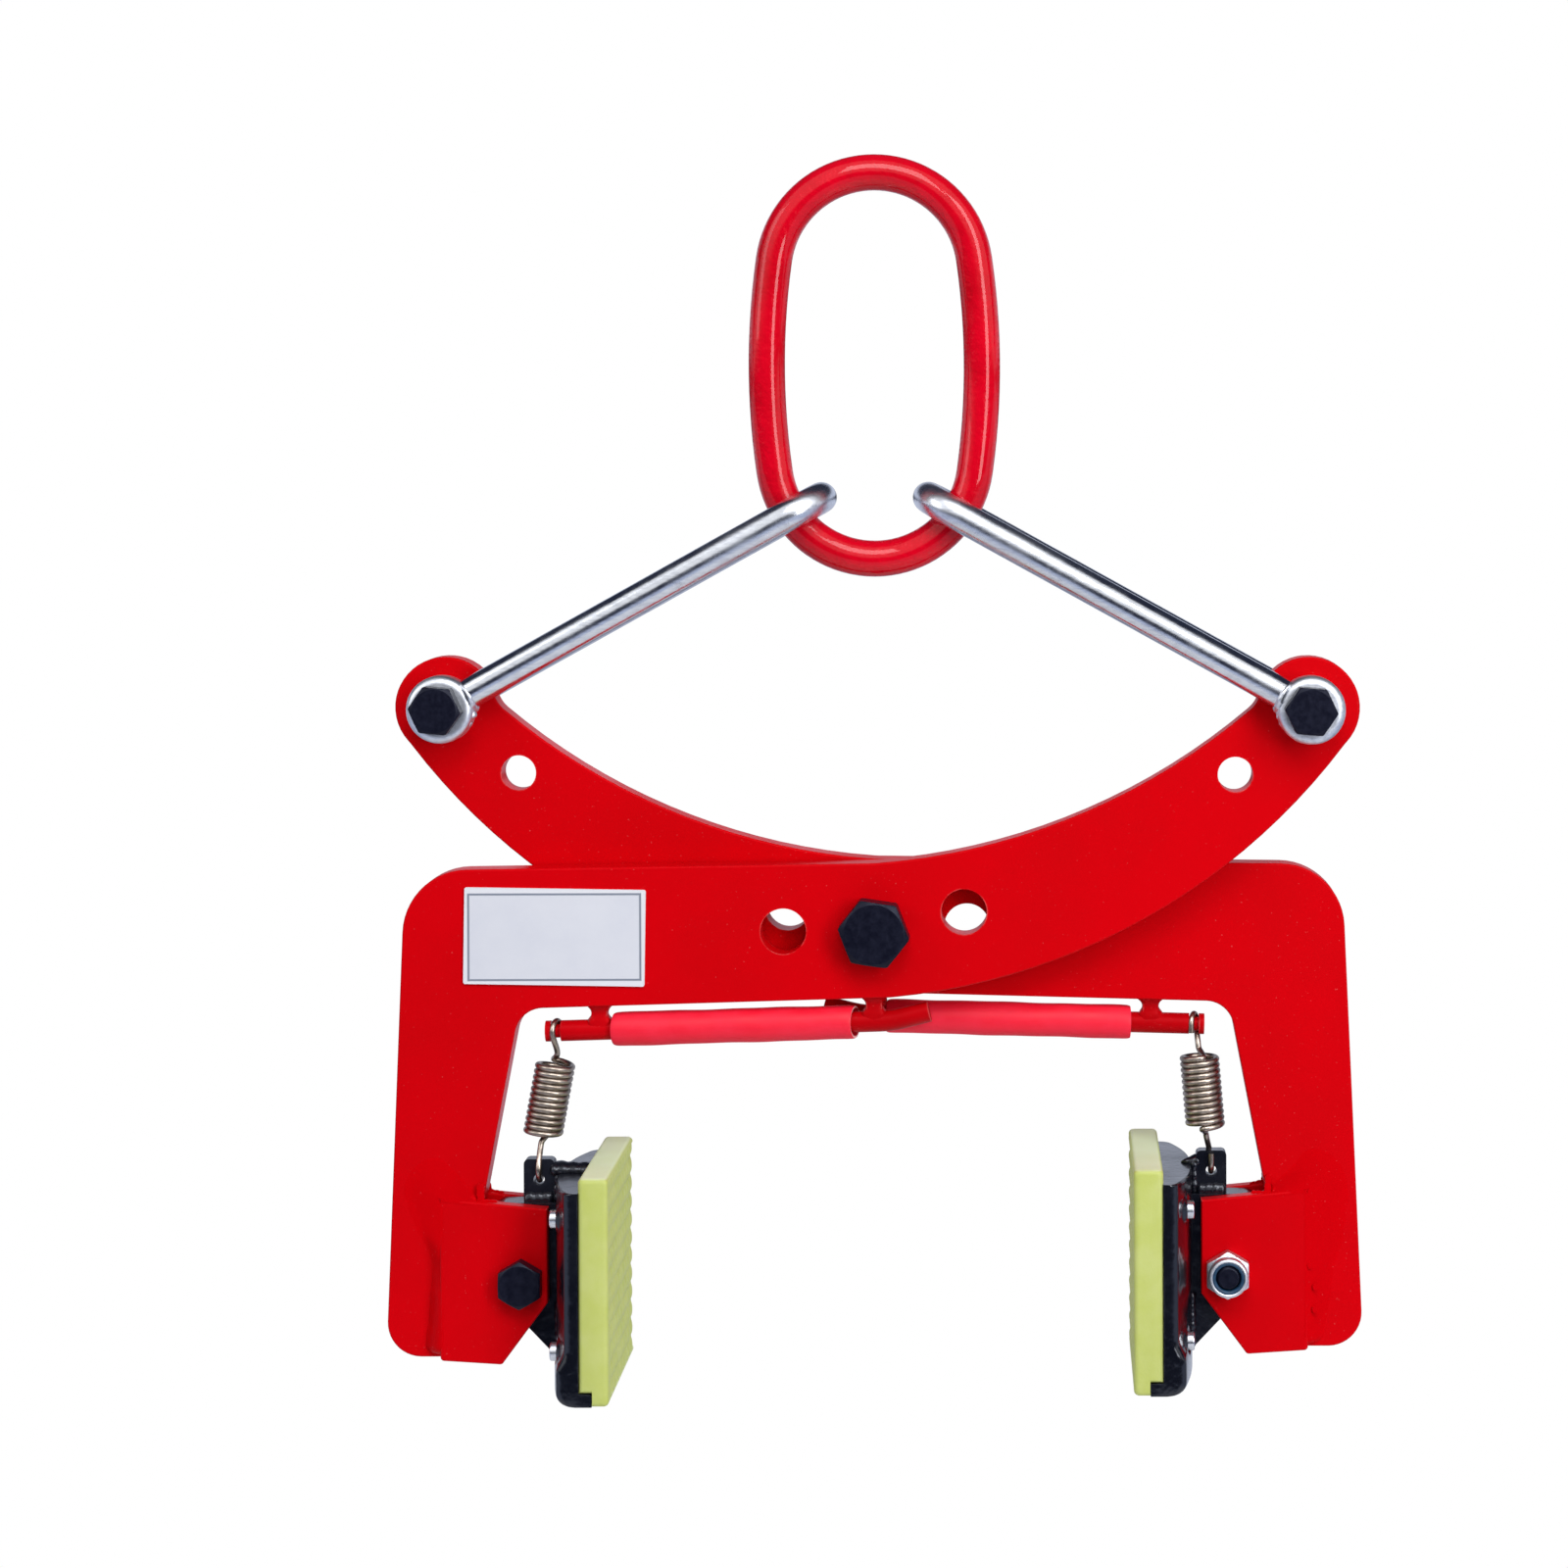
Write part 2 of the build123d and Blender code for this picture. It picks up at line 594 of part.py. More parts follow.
# Rest bars: welded under the beams on two posts, each with a soft sleeve
for arm_name, jaw_side, eye_side, view, outward in sides:
    bar_view = view.offset(arm_middle)
    bar_end = place(view, -bar_reach, bar_axis(-bar_reach), arm_middle)
    bar_run = aim(view, 1, bar_axis(1) - bar_axis(0), 0)
    with BuildPart() as rest_bar:
        with BuildLine(bar_view) as bar_path:
            FilletPolyline(
                (-bar_reach, bar_axis(-bar_reach)),
                (tail_start, bar_axis(tail_start)),
                (tail_reach, bar_axis(tail_reach) + tail_rise),
                radius=tail_bend_radius,
            )
        with BuildSketch(Plane(origin=bar_path.line @ 0, z_dir=bar_path.line % 0)):
            Circle(bar_diameter / 2)
        sweep()
        neck = Plane(origin=bar_end + bar_run * (neck_back - neck_width / 2), z_dir=bar_run)
        with BuildSketch(neck):
            Circle(bar_diameter)
            Circle(neck_diameter / 2, mode=Mode.SUBTRACT)
        extrude(amount=neck_width, mode=Mode.SUBTRACT)
    save(rest_bar, f"{jaw_side}_rest_bar")

    with BuildPart() as posts:
        with BuildSketch(view.offset(arm_middle - post_depth / 2)):
            for x in post_places:
                left_x = x - post_width / 2
                right_x = x + post_width / 2
                Polygon((left_x, low_edge(left_x)), (right_x, low_edge(right_x)),
                        (right_x, bar_axis(right_x)), (left_x, bar_axis(left_x)), align=None)
        extrude(amount=post_depth)
        add(rest_bar.part, mode=Mode.SUBTRACT)
    save(posts, f"{jaw_side}_rest_posts")

    sleeve_start = place(view, -sleeve_outer_end, bar_axis(-sleeve_outer_end), arm_middle)
    sleeve_length = sleeve_outer_end - sleeve_inner_end
    outer_mouth = Plane(origin=sleeve_start, z_dir=bar_run)
    inner_mouth = outer_mouth.offset(sleeve_length)
    with BuildPart() as sleeve:
        ring(outer_mouth, sleeve_diameter, bar_diameter + 2 * sleeve_bore_clearance, sleeve_length)
        rod(outer_mouth, sleeve_mouth_diameter, sleeve_mouth_depth, Mode.SUBTRACT)
        rod(inner_mouth, sleeve_mouth_diameter, -sleeve_mouth_depth, Mode.SUBTRACT)
    save(sleeve, f"{jaw_side}_rest_sleeve")


def biarc(start, start_way, end, end_way):
    """Two arcs from start to end that keep both directions, with equal tangent lengths."""
    chord = end - start
    ways = start_way + end_way
    square = 2 * (1 - start_way.dot(end_way))
    linear = 2 * chord.dot(ways)
    reach = (sqrt(linear**2 + 4 * square * chord.dot(chord)) - linear) / (2 * square)
    joint = (start + end + (start_way - end_way) * reach) * 0.5
    first = TangentArc(start, joint, tangent=start_way)
    TangentArc(joint, end, tangent=first % 1)


def least_gap(line, wire):
    """Least distance between stretches of a wire that are more than half a turn apart along it."""
    steps = int(line.length)
    points = [line @ (i / steps) for i in range(steps + 1)]
    apart = int(pi * (spring_diameter - wire) / 2)
    pairs = ((a, b) for i, a in enumerate(points) for b in points[i + apart:])
    return min((a - b).length for a, b in pairs) - wire


# Extension springs, hooked over the bar's neck and through the tab
for arm_name, jaw_side, eye_side, view, outward in sides:
    neck_x = neck_back - bar_reach
    top_end = place(view, neck_x, bar_axis(neck_x), arm_middle)
    tab_x = tab_offset - jaw_reach
    tab_y = lug_rise + tab_height - tab_hole_drop - jaw_drop
    low_end = place(view, tab_x, tab_y, arm_middle)
    up = (top_end - low_end).normalized()
    across = view.z_dir
    side = up.cross(across)
    coil_radius = (spring_diameter - spring_wire) / 2
    coil_length = spring_turns * spring_pitch
    coil_start = low_end + up * (((top_end - low_end).length - coil_length) / 2)
    top_radius = neck_diameter / 2 + spring_hook_clearance + spring_wire / 2
    low_radius = tab_thickness / 2 + spring_tab_clearance + spring_wire / 2
    low_centre = low_end + up * (low_radius - spring_hook_sink)

    def on_coil(turn):
        """Point of the coil's helix after so many turns, and the way that it runs there."""
        angle = 2 * pi * turn - pi / 2
        point = coil_start + across * (coil_radius * cos(angle)) + side * (coil_radius * sin(angle))
        way = side * cos(angle) - across * sin(angle) + up * (spring_pitch / (2 * pi * coil_radius))
        return point + up * (turn * spring_pitch), way.normalized()

    with BuildPart() as spring:
        with BuildLine() as wire_line:
            hook_low = low_centre - across * low_radius
            tail_low = low_centre + across * low_radius
            Line(tail_low + up * spring_hook_tail, tail_low)
            ThreePointArc(tail_low, low_centre - up * low_radius, hook_low)
            coil_point, coil_way = on_coil(0)
            run_out = coil_start - up * spring_end_rise - across * low_radius
            Line(hook_low, run_out)
            biarc(run_out, up, coil_point, coil_way)
            for half in range(2 * spring_turns):
                begin, begin_way = on_coil(half / 2)
                end, end_way = on_coil((half + 1) / 2)
                biarc(begin, begin_way, end, end_way)
            coil_point, coil_way = on_coil(spring_turns)
            run_in = coil_start + up * (coil_length + spring_end_rise) + across * top_radius
            biarc(coil_point, coil_way, run_in, up)
            hook_top = top_end + across * top_radius
            tail_top = top_end - across * top_radius
            Line(run_in, hook_top)
            ThreePointArc(hook_top, top_end + up * top_radius, tail_top)
            Line(tail_top, tail_top - up * spring_hook_tail)
        with BuildSketch(Plane(origin=wire_line.line @ 0, z_dir=wire_line.line % 0)):
            Circle(spring_wire / 2)
        sweep()
    wire = wire_line.wires()[0]
    tightest = min(edge.radius for edge in wire.edges().filter_by(GeomType.CIRCLE))
    filled = spring.part.volume / (pi * spring_wire**2 / 4 * wire.length)
    print(f"{jaw_side} spring: least gap {least_gap(wire, spring_wire):.2f} mm, "
          f"tightest bend {tightest:.2f} mm, volume over section times length {filled:.4f}")
    save(spring, f"{jaw_side}_spring")

# Rating plate, blank, on the front arm's beam
plate_centre = place(front_view, plate_inset - leg_outer_top, -plate_drop, arm_outer_face)
with BuildPart() as rating_plate:
    with BuildSketch(Plane(origin=plate_centre, x_dir=(1, 0, 0), z_dir=(0, -1, 0))) as plate_outline:
        RectangleRounded(plate_width, plate_height, plate_corner_radius, rotation=plate_tilt)
    extrude(amount=plate_thickness)
save(rating_plate, "rating_plate")

print(f"pivot {pivot_z:.3f}, bail seat x {seat_x:.3f} z {seat_z:.3f}, jaw opening "
      f"{2 * (jaw_reach - carrier_offset - carrier_thickness - pad_thickness):.2f}")
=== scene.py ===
import bmesh
import bpy
import numpy as np
from mathutils import Matrix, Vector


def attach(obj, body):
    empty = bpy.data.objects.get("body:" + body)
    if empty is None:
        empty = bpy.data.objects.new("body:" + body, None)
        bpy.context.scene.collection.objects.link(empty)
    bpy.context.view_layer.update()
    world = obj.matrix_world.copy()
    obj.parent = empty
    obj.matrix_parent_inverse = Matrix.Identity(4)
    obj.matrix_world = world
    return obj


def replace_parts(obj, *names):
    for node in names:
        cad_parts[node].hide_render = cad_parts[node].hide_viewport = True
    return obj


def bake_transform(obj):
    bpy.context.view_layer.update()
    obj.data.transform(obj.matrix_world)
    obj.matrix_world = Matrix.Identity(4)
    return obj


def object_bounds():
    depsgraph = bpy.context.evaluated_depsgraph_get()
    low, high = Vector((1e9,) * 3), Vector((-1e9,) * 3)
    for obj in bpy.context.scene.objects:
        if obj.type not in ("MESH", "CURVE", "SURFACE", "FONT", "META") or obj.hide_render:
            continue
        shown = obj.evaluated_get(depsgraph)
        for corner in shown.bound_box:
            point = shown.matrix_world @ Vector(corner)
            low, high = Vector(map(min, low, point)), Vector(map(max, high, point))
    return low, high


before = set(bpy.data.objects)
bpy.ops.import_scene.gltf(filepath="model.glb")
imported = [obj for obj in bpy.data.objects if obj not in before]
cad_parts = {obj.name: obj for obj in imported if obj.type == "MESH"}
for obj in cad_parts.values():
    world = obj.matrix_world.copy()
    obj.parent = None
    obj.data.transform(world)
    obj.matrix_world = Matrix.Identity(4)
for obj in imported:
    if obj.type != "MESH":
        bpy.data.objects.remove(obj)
cad_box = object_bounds()


# Oblong link: one round steel bar bent to an oval and butt welded, then dipped in thick red enamel.
# It hangs loose on the crane hook and carries both bails in its foot.

class Wires:
    """The nodes of one shader tree: each method adds a node, fills its inputs and returns what it gives."""

    def __init__(self, tree):
        self.tree = tree
        self.shader = tree.nodes.get("Principled BSDF")

    def join(self, socket, value):
        """Link a socket to another one, or set it to a number, a vector or a colour of three parts."""
        if isinstance(value, bpy.types.NodeSocket):
            self.tree.links.new(value, socket)
        else:
            socket.default_value = (*value, 1) if socket.type == "RGBA" else value

    def put(self, node, **values):
        """Fill a node's inputs by name; underscores stand for spaces."""
        for label, value in values.items():
            self.join(node.inputs[label.replace("_", " ")], value)
        return node

    def add(self, kind, **values):
        """New node of a kind, with its inputs filled."""
        return self.put(self.tree.nodes.new("ShaderNode" + kind), **values)

    def finish(self, **values):
        """Fill the inputs of the material's shader."""
        self.put(self.shader, **values)

    def place(self, kind="Object"):
        """Coordinates of a kind; the Object ones are the clamp's own frame in metres."""
        return self.add("TexCoord").outputs[kind]

    def parts(self, vector):
        """The sockets X, Y and Z of a vector."""
        return self.add("SeparateXYZ", Vector=vector).outputs

    def noise(self, where, scale, detail=3.0, roughness=0.5):
        """Noise texture on a given vector, from 0 to 1."""
        return self.add("TexNoise", Vector=where, Scale=scale, Detail=detail, Roughness=roughness).outputs["Fac"]

    def window(self, value, low, high, to_low=0.0, to_high=1.0):
        """Value carried smoothly from the span low-high to the span to_low-to_high, held at both ends."""
        node = self.add("MapRange", Value=value, From_Min=low, From_Max=high, To_Min=to_low, To_Max=to_high)
        node.interpolation_type = "SMOOTHSTEP"
        return node.outputs["Result"]

    def sums(self, operation, first, second=0.0, kind="Math"):
        """One step of arithmetic on two sockets or numbers, or on two vectors with the kind VectorMath."""
        node = self.add(kind)
        node.operation = operation
        for socket, value in zip(node.inputs, (first, second)):
            self.join(socket, value)
        return node.outputs["Value"]

    def tint(self, share, first, second):
        """Colour between two colours or sockets by a share of 0 to 1."""
        node = self.add("Mix")
        node.data_type = "RGBA"
        for slot, value in ((0, share), (6, first), (7, second)):
            self.join(node.inputs[slot], value)
        return node.outputs[2]

    def coat(self, *layers):
        """Lay colours over the material's own one, each by its share of 0 to 1."""
        socket = self.shader.inputs["Base Color"]
        colour = socket.default_value[:3]
        for share, layer in layers:
            colour = self.tint(share, colour, layer)
        self.join(socket, colour)

    def emboss(self, height, depth):
        """Bump of the material by the given depth in metres from a height of 0 to 1."""
        self.finish(Normal=self.add("Bump", Strength=1.0, Distance=depth, Height=height).outputs["Normal"])

    def group(self, tree, **values):
        """Put a node group into the tree, with the object's own place and other inputs: returns its outputs."""
        node = self.add("Group")
        node.node_tree = tree
        return self.put(node, Place=self.place(), **values).outputs


def start_material(name, colour, roughness, metallic=0.0):
    """A material with its Principled shader: returns it and its wires."""
    material = bpy.data.materials.new(name)
    material.use_nodes = True
    wires = Wires(material.node_tree)
    wires.finish(Base_Color=colour, Roughness=roughness, Metallic=metallic)
    return material, wires


def start_group(name, values, results):
    """A group of shader nodes that takes a place and numbers: returns its wires, its inputs and its exit."""
    tree = bpy.data.node_groups.new(name, "ShaderNodeTree")
    tree.interface.new_socket("Place", in_out="INPUT", socket_type="NodeSocketVector")
    for label, value in values.items():
        tree.interface.new_socket(label, in_out="INPUT", socket_type="NodeSocketFloat").default_value = value
    for label in results:
        tree.interface.new_socket(label, in_out="OUTPUT", socket_type="NodeSocketFloat")
    return Wires(tree), tree.nodes.new("NodeGroupInput").outputs, tree.nodes.new("NodeGroupOutput")


# Paint skin: fine orange peel on top of slow sags, cloudy tone and dust specks
wires, entry, leave = start_group("paint_skin", {"Peel": 700.0, "Sag": 90.0}, ("Height", "Cloud", "Speck"))
peel = wires.noise(entry["Place"], entry["Peel"], 1.5)
sag = wires.noise(entry["Place"], entry["Sag"], 2.0)
wires.put(leave, Height=wires.sums("ADD", peel, wires.sums("MULTIPLY", sag, 3.0)),
          Cloud=wires.window(wires.noise(entry["Place"], 22.0, 4.0, 0.6), 0.3, 0.7),
          Speck=wires.window(wires.noise(entry["Place"], 950.0, 2.0, 0.7), 0.70, 0.76))
paint_skin = wires.tree

# Rim mask: where the rounded normal leaves the true one, broken up by noise. On the red coats it paints the rims paler,
# partly as rubbed wear and partly as painted edge highlight; on the black finishes it is wear
wires, entry, leave = start_group("rim_mask", {"Width": 0.001, "Wear": 0.5}, ("Rim",))
bevel = wires.add("Bevel", Radius=entry["Width"])
bevel.samples = 6
true_normal = wires.add("NewGeometry").outputs["Normal"]
facing = wires.sums("DOT_PRODUCT", bevel.outputs["Normal"], true_normal, "VectorMath")
patchy = wires.window(wires.noise(entry["Place"], 130.0, 5.0, 0.65), 0.38, 0.62)
worn = wires.sums("MULTIPLY", wires.window(facing, 0.97, 0.80), patchy)
wires.put(leave, Rim=wires.sums("MULTIPLY", worn, entry["Wear"]))
rim_mask = wires.tree

link_red, link_shade = (0.73, 0.0004, 0.0150), (0.53, 0.0004, 0.0080)
link_paint, wires = start_material("link_enamel", link_red, 0.22)
skin = wires.group(paint_skin, Peel=520.0, Sag=55.0)
wires.coat((skin["Cloud"], link_shade))
wires.finish(Roughness=wires.window(skin["Cloud"], 0.0, 1.0, 0.20, 0.30), Specular_IOR_Level=0.10,
             Specular_Tint=(1.0, 0.30, 0.36), Coat_Weight=0.58, Coat_Roughness=0.05)
wires.emboss(skin["Height"], 0.00042)


def dress(material, *nodes):
    """Give carried-over CAD nodes a finished material."""
    for node in nodes:
        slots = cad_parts[node].data.materials
        slots.clear()
        slots.append(material)


dress(link_paint, "master_link")


# Arms: two 12 mm steel plates, flame cut to one outline, edges ground round and powder coated red.
# They cross on the pivot bolt, the rear one turned half round.

# The pale pink goes on dust specks and on the rims, where it is partly rubbed wear and partly painted highlight of the
# edges
coat_red, coat_shade, coat_dust_wear_and_highlight = (0.645, 0.0003, 0.0035), (0.590, 0.0003, 0.0028), (0.80, 0.20, 0.20)


def powder_coat(name, colour, shade, rim_wear_and_highlight=0.55, gloss=0.20):
    """Red powder coat: fine peel, cloudy tone, dust specks and paler rims, partly rubbed wear and partly painted edge
    highlight.
    """
    material, wires = start_material(name, colour, 0.36)
    skin = wires.group(paint_skin, Peel=850.0, Sag=70.0)
    rim = wires.group(rim_mask, Width=0.0011, Wear=rim_wear_and_highlight)
    speck = wires.sums("MULTIPLY", skin["Speck"], 0.35)
    # Pale rims: partly rubbed wear, partly painted edge highlight
    wires.coat((skin["Cloud"], shade), (speck, coat_dust_wear_and_highlight), (rim["Rim"], coat_dust_wear_and_highlight))
    wires.finish(Roughness=wires.window(skin["Cloud"], 0.0, 1.0, 0.33, 0.42),
                 Specular_IOR_Level=gloss, Specular_Tint=(1.0, 0.14, 0.18))
    wires.emboss(skin["Height"], 0.00004)
    return material


arm_coat = powder_coat("arm_powder_coat", coat_red, coat_shade)
dress(arm_coat, "front_arm", "back_arm")
PIVOT_Z, arm_middle = -0.28415, -0.00675
leg_arm = {"left": "front_arm", "right": "back_arm"}


# Jaw cheeks: four 6 mm plates, one on each face of a leg's foot, welded along the back edge and the top
# and coated with the arm. They carry the jaw bolt, with the grip between them.

for side in leg_arm:
    dress(arm_coat, f"{side}_front_cheek", f"{side}_rear_cheek")


def half_turn(points, side):
    """The right-hand twin of a left-hand piece is the same piece turned half round about the vertical."""
    return points if side == "left" else points * np.array([-1.0, -1.0, 1.0])


def full_turn(count):
    """Row of angles for a closed ring of points."""
    return np.linspace(0, 2 * np.pi, count, endpoint=False)[None, :]


def spoke(angle, first, second):
    """Direction that turns by an angle from the first vector to the second."""
    return np.cos(angle)[..., None] * first + np.sin(angle)[..., None] * second


def unit(vectors):
    """Vectors brought to length 1."""
    return vectors / np.linalg.norm(vectors, axis=-1, keepdims=True)


def ease(way):
    """Smooth step 3 w^2 - 2 w^3 of a way w, held at 0 and 1."""
    way = np.clip(way, 0, 1)
    return way * way * (3 - 2 * way)


def round_end(way):
    """Quarter ellipse over a way of 0 to 1, from 0 up to 1 and held there."""
    return np.sqrt(1 - (1 - np.clip(way, 0, 1)) ** 2)


def in_scene(name, data):
    """New object of the scene that shows a mesh, lamp or camera."""
    thing = bpy.data.objects.new(name, data)
    bpy.context.scene.collection.objects.link(thing)
    return thing


def surface(name, grids, material, sharp=35.0, side="left", at=(0.0, 0.0, 0.0), capped=False):
    """One mesh from grids of points, each of shape rows x columns x 3, joined by quads between neighbours.

    Each grid comes as (points, rows closed, columns closed): a closed way joins its last line to its first. A capped
    grid gets a face over its first row and its last. Points are carried to a place and turned half round for the right
    side. Coincident points, as at poles and seams, are merged, empty faces are dropped, faces are turned outwards and
    shaded smooth, and edges above the sharp angle in degrees stay sharp.
    """
    points, faces, start = [], [], 0
    for grid, close_rows, close_columns in grids:
        rows, columns = grid.shape[:2]
        index = np.arange(rows * columns).reshape(rows, columns) + start
        caps = [index[0, ::-1].tolist(), index[-1].tolist()] if capped else []
        if close_rows:
            index = np.vstack([index, index[:1]])
        if close_columns:
            index = np.hstack([index, index[:, :1]])
        quads = np.stack([index[:-1, :-1], index[:-1, 1:], index[1:, 1:], index[1:, :-1]], axis=-1)
        points.append(half_turn(grid + np.array(at), side).reshape(-1, 3))
        faces += quads.reshape(-1, 4).tolist() + caps
        start += rows * columns
    mesh = bpy.data.meshes.new(name)
    mesh.from_pydata(np.concatenate(points).tolist(), [], faces)
    work = bmesh.new()
    work.from_mesh(mesh)
    bmesh.ops.remove_doubles(work, verts=work.verts, dist=2e-7)
    bmesh.ops.dissolve_degenerate(work, edges=work.edges, dist=1e-8)
    bmesh.ops.recalc_face_normals(work, faces=work.faces)
    work.to_mesh(mesh)
    work.free()
    mesh.polygons.foreach_set("use_smooth", np.ones(len(mesh.polygons), dtype=bool))
    mesh.set_sharp_from_angle(angle=np.radians(sharp))
    mesh.materials.append(material)
    return in_scene(name, mesh)


def weld_bead(start, end, radius, ripple, seed, lie=(0.31, 0.52, 0.79), broad=1.0, taper=0.0):
    """Weld bead: a round bar from start to end whose radius swells in crescents, one for each ripple length.

    The two parameters are the angle round the bar and the way along it. The radius is the nominal one times
    1 + 0.16 |sin| of the way, bent back at the sides by the angle, times a slow wander and a fall by the taper's
    share, and it closes at both ends as a quarter ellipse. The bar is broader by a factor along the lie direction.
    """
    start, end = np.asarray(start, float), np.asarray(end, float)
    length, along = np.linalg.norm(end - start), unit(end - start)
    across = unit(np.asarray(lie, float) - np.dot(lie, along) * along)
    way = np.linspace(0, 1, max(14, int(length / ripple * 7)))[:, None]
    angle = full_turn(18)
    reach = way * length
    crescent = 0.16 * np.abs(np.sin(np.pi * (reach + 0.45 * radius * np.cos(angle)) / ripple + seed))
    wander = 1 + 0.07 * np.sin(reach / ripple * 1.3 + seed * 2.1) + 0.05 * np.sin(2 * angle + seed)
    closing = round_end(np.minimum(reach, length - reach) / radius)
    size = radius * (1 + crescent) * wander * closing * (1 - taper * way)
    ring = spoke(angle, broad * across, np.cross(along, across))
    return start + reach[..., None] * along + size[..., None] * ring, False, True


jaw_x, jaw_z = -0.135, PIVOT_Z - 0.133
cheek_back, cheek_foot, cheek_thickness = jaw_x - 0.031, jaw_z - 0.0292, 0.006


def cheek_top(x):
    """Height of a left cheek's top edge at x: it falls by 4 mm from the back to the nose."""
    return jaw_z + 0.028 + 0.004 * (jaw_x + 0.010 - x) / 0.041


def ground_weld(face, outward, crease, toe, seed):
    """Weld around a cheek, ground to a ramp: up the back edge, round the corner and along the top edge.

    At each station of that way the ramp leaves the cheek's face just inside its edge and falls to the leg over a
    reach that runs through the toe's values, from the foot over the corner to a point at the leg's edge. The fall is
    the smooth step 3 u^2 - 2 u^3 of the cheek's height, and by the crease's share in the lower half it is u to the
    power 1.8, which leaves a sharp toe. Slow waves move the toe, and at both ends the ramp closes as a quarter
    ellipse. Its underside lies in the leg.
    """
    ups, turns, runs = 44, 14, 22
    leg_edge, top_slope, inside, proud = -0.1518, 0.097, 0.0013, cheek_thickness + 0.00006
    foot_end, tip_end, toe_stations = 0.0040, 0.0008, [0, 0.25, 0.45, 0.55, 0.70, 0.82, 0.93, 1]
    corner_z = cheek_top(cheek_back)
    fan = np.linspace(0, 1, turns + 2)[1:-1]
    run = np.linspace(cheek_back, leg_edge, runs)
    spot_x = np.concatenate([np.full(ups + turns, cheek_back), run])
    spot_z = np.concatenate([np.linspace(cheek_foot, corner_z, ups), np.full(turns, corner_z), cheek_top(run)])
    bearing = np.concatenate([np.full(ups, np.pi), np.pi - fan * (np.pi / 2 - top_slope),
                              np.full(runs, np.pi / 2 + top_slope)])[:, None]
    edge = np.concatenate([[0.0], np.cumsum(np.hypot(np.diff(spot_x), np.diff(spot_z)))])
    share = edge / edge[-1]
    closing = round_end(np.minimum(edge / foot_end, (edge[-1] - edge) / tip_end))[:, None]
    reach = np.interp(share, toe_stations, toe)
    reach = np.convolve(np.pad(reach, 5, mode="edge"), np.ones(11) / 11, mode="valid")
    reach = (reach * (1 + 0.035 * np.sin(edge * 300 + seed) + 0.02 * np.sin(edge * 830 + 2 * seed)))[:, None]
    u = np.linspace(0, 1, 17)[None, :]
    sharp_toe = (crease * np.clip((0.52 - share) / 0.2, 0, 1))[:, None]
    fall = proud * (1 - (1 - sharp_toe) * ease(u) - sharp_toe * u**1.8)
    skin = 0.00007 * np.sin(edge[:, None] * 1300 + 4 * u + seed) * np.sin(np.pi * u)
    under = np.array([[1.0, 0.6, 0.2]])
    out = closing * np.hstack([(reach + inside) * u - inside, reach * under - inside * (1 - under)])
    lift = np.hstack([closing * (fall + skin), np.full((len(edge), 3), -0.0006)])
    grid = np.stack([spot_x[:, None] + out * np.cos(bearing), face + outward * lift,
                     spot_z[:, None] + out * np.sin(bearing)], axis=-1)
    caps = np.repeat(grid[[0, -1]].mean(axis=1)[:, None], grid.shape[1], axis=1)
    return np.concatenate([caps[:1], grid, caps[1:]]), False, True


def flush_shading(piece, low, high, share):
    """Lean a mesh's shading normals towards the plate's, along Y, by up to a share that grows from low to high.

    This is how a ground and thickly coated run looks: the coat fills the slope's ends and evens out its light.
    """
    count = len(piece.data.vertices)
    normals, places = np.empty(3 * count), np.empty(3 * count)
    piece.data.vertex_normals.foreach_get("vector", normals)
    piece.data.vertices.foreach_get("co", places)
    normals, height = normals.reshape(-1, 3), places.reshape(-1, 3)[:, 2]
    lean = share * np.clip((height - low) / (high - low), 0, 1) * (np.abs(normals[:, 1]) > 0.4)
    plate = np.stack([np.zeros(count), np.sign(normals[:, 1]), np.zeros(count)], axis=-1)
    normals = unit(normals * (1 - lean)[:, None] + plate * lean[:, None])
    piece.data.normals_split_custom_set_from_vertices(normals.tolist())


weld_coat = powder_coat("weld_powder_coat", coat_red, coat_shade, rim_wear_and_highlight=0.0, gloss=0.06)
weld_ramps = {"left": (1.0, 0.0, (0.0068, 0.0050, 0.0032, 0.0050, 0.0130, 0.0150, 0.0060, 0.0015)),
              "right": (0.35, 0.9, (0.0062, 0.0088, 0.0115, 0.0140, 0.0165, 0.0150, 0.0060, 0.0015))}
flush_spans = {"left": (jaw_z - 0.008, jaw_z + 0.016, 0.80), "right": (jaw_z - 0.036, jaw_z - 0.016, 0.93)}
paint_drips = {"left": (), "right": ((-0.1664, 0.0026, 0.2), (-0.1684, -0.0056, 1.3), (-0.1682, -0.0143, 2.4))}
for side, body in leg_arm.items():
    welds, (crease, shift, toe) = [], weld_ramps[side]
    for face, outward, seed in ((-0.01275, -1, 0.3), (-0.00075, 1, 1.7)):
        welds.append(ground_weld(face, outward, crease, toe, seed + shift))
        welds.append(weld_bead((-0.1513, face + outward * 0.0002, PIVOT_Z - 0.0962),
                               (-0.1506, face + outward * 0.0036, PIVOT_Z - 0.1034), 0.0013, 0.0026, seed))
        welds.append(weld_bead((-0.1512, face + outward * 0.0042, cheek_top(-0.1512) - 0.0006),
                               (-0.1445, face + outward * 0.0010, cheek_top(-0.1445) - 0.0006), 0.0012, 0.0024, seed))
    for x, z, seed in paint_drips[side]:
        welds.append(weld_bead((x, 0.0050, jaw_z + z + 0.0011), (x - 0.0005, 0.0050, jaw_z + z - 0.0013),
                               0.0008, 0.0017, seed))
    piece = surface(f"{side}_cheek_welds", welds, weld_coat, 60, side)
    flush_shading(piece, *flush_spans[side])
    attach(piece, body)


# Main pivot: M16 bolt, blacked, from the front through both arms, with a thin spacer between them and a
# zinc washer and nut behind.

black_steel, black_grain, black_rub = (0.0034, 0.0038, 0.0105), (0.0075, 0.0082, 0.0190), (0.040, 0.044, 0.062)
black_roughness = 0.34

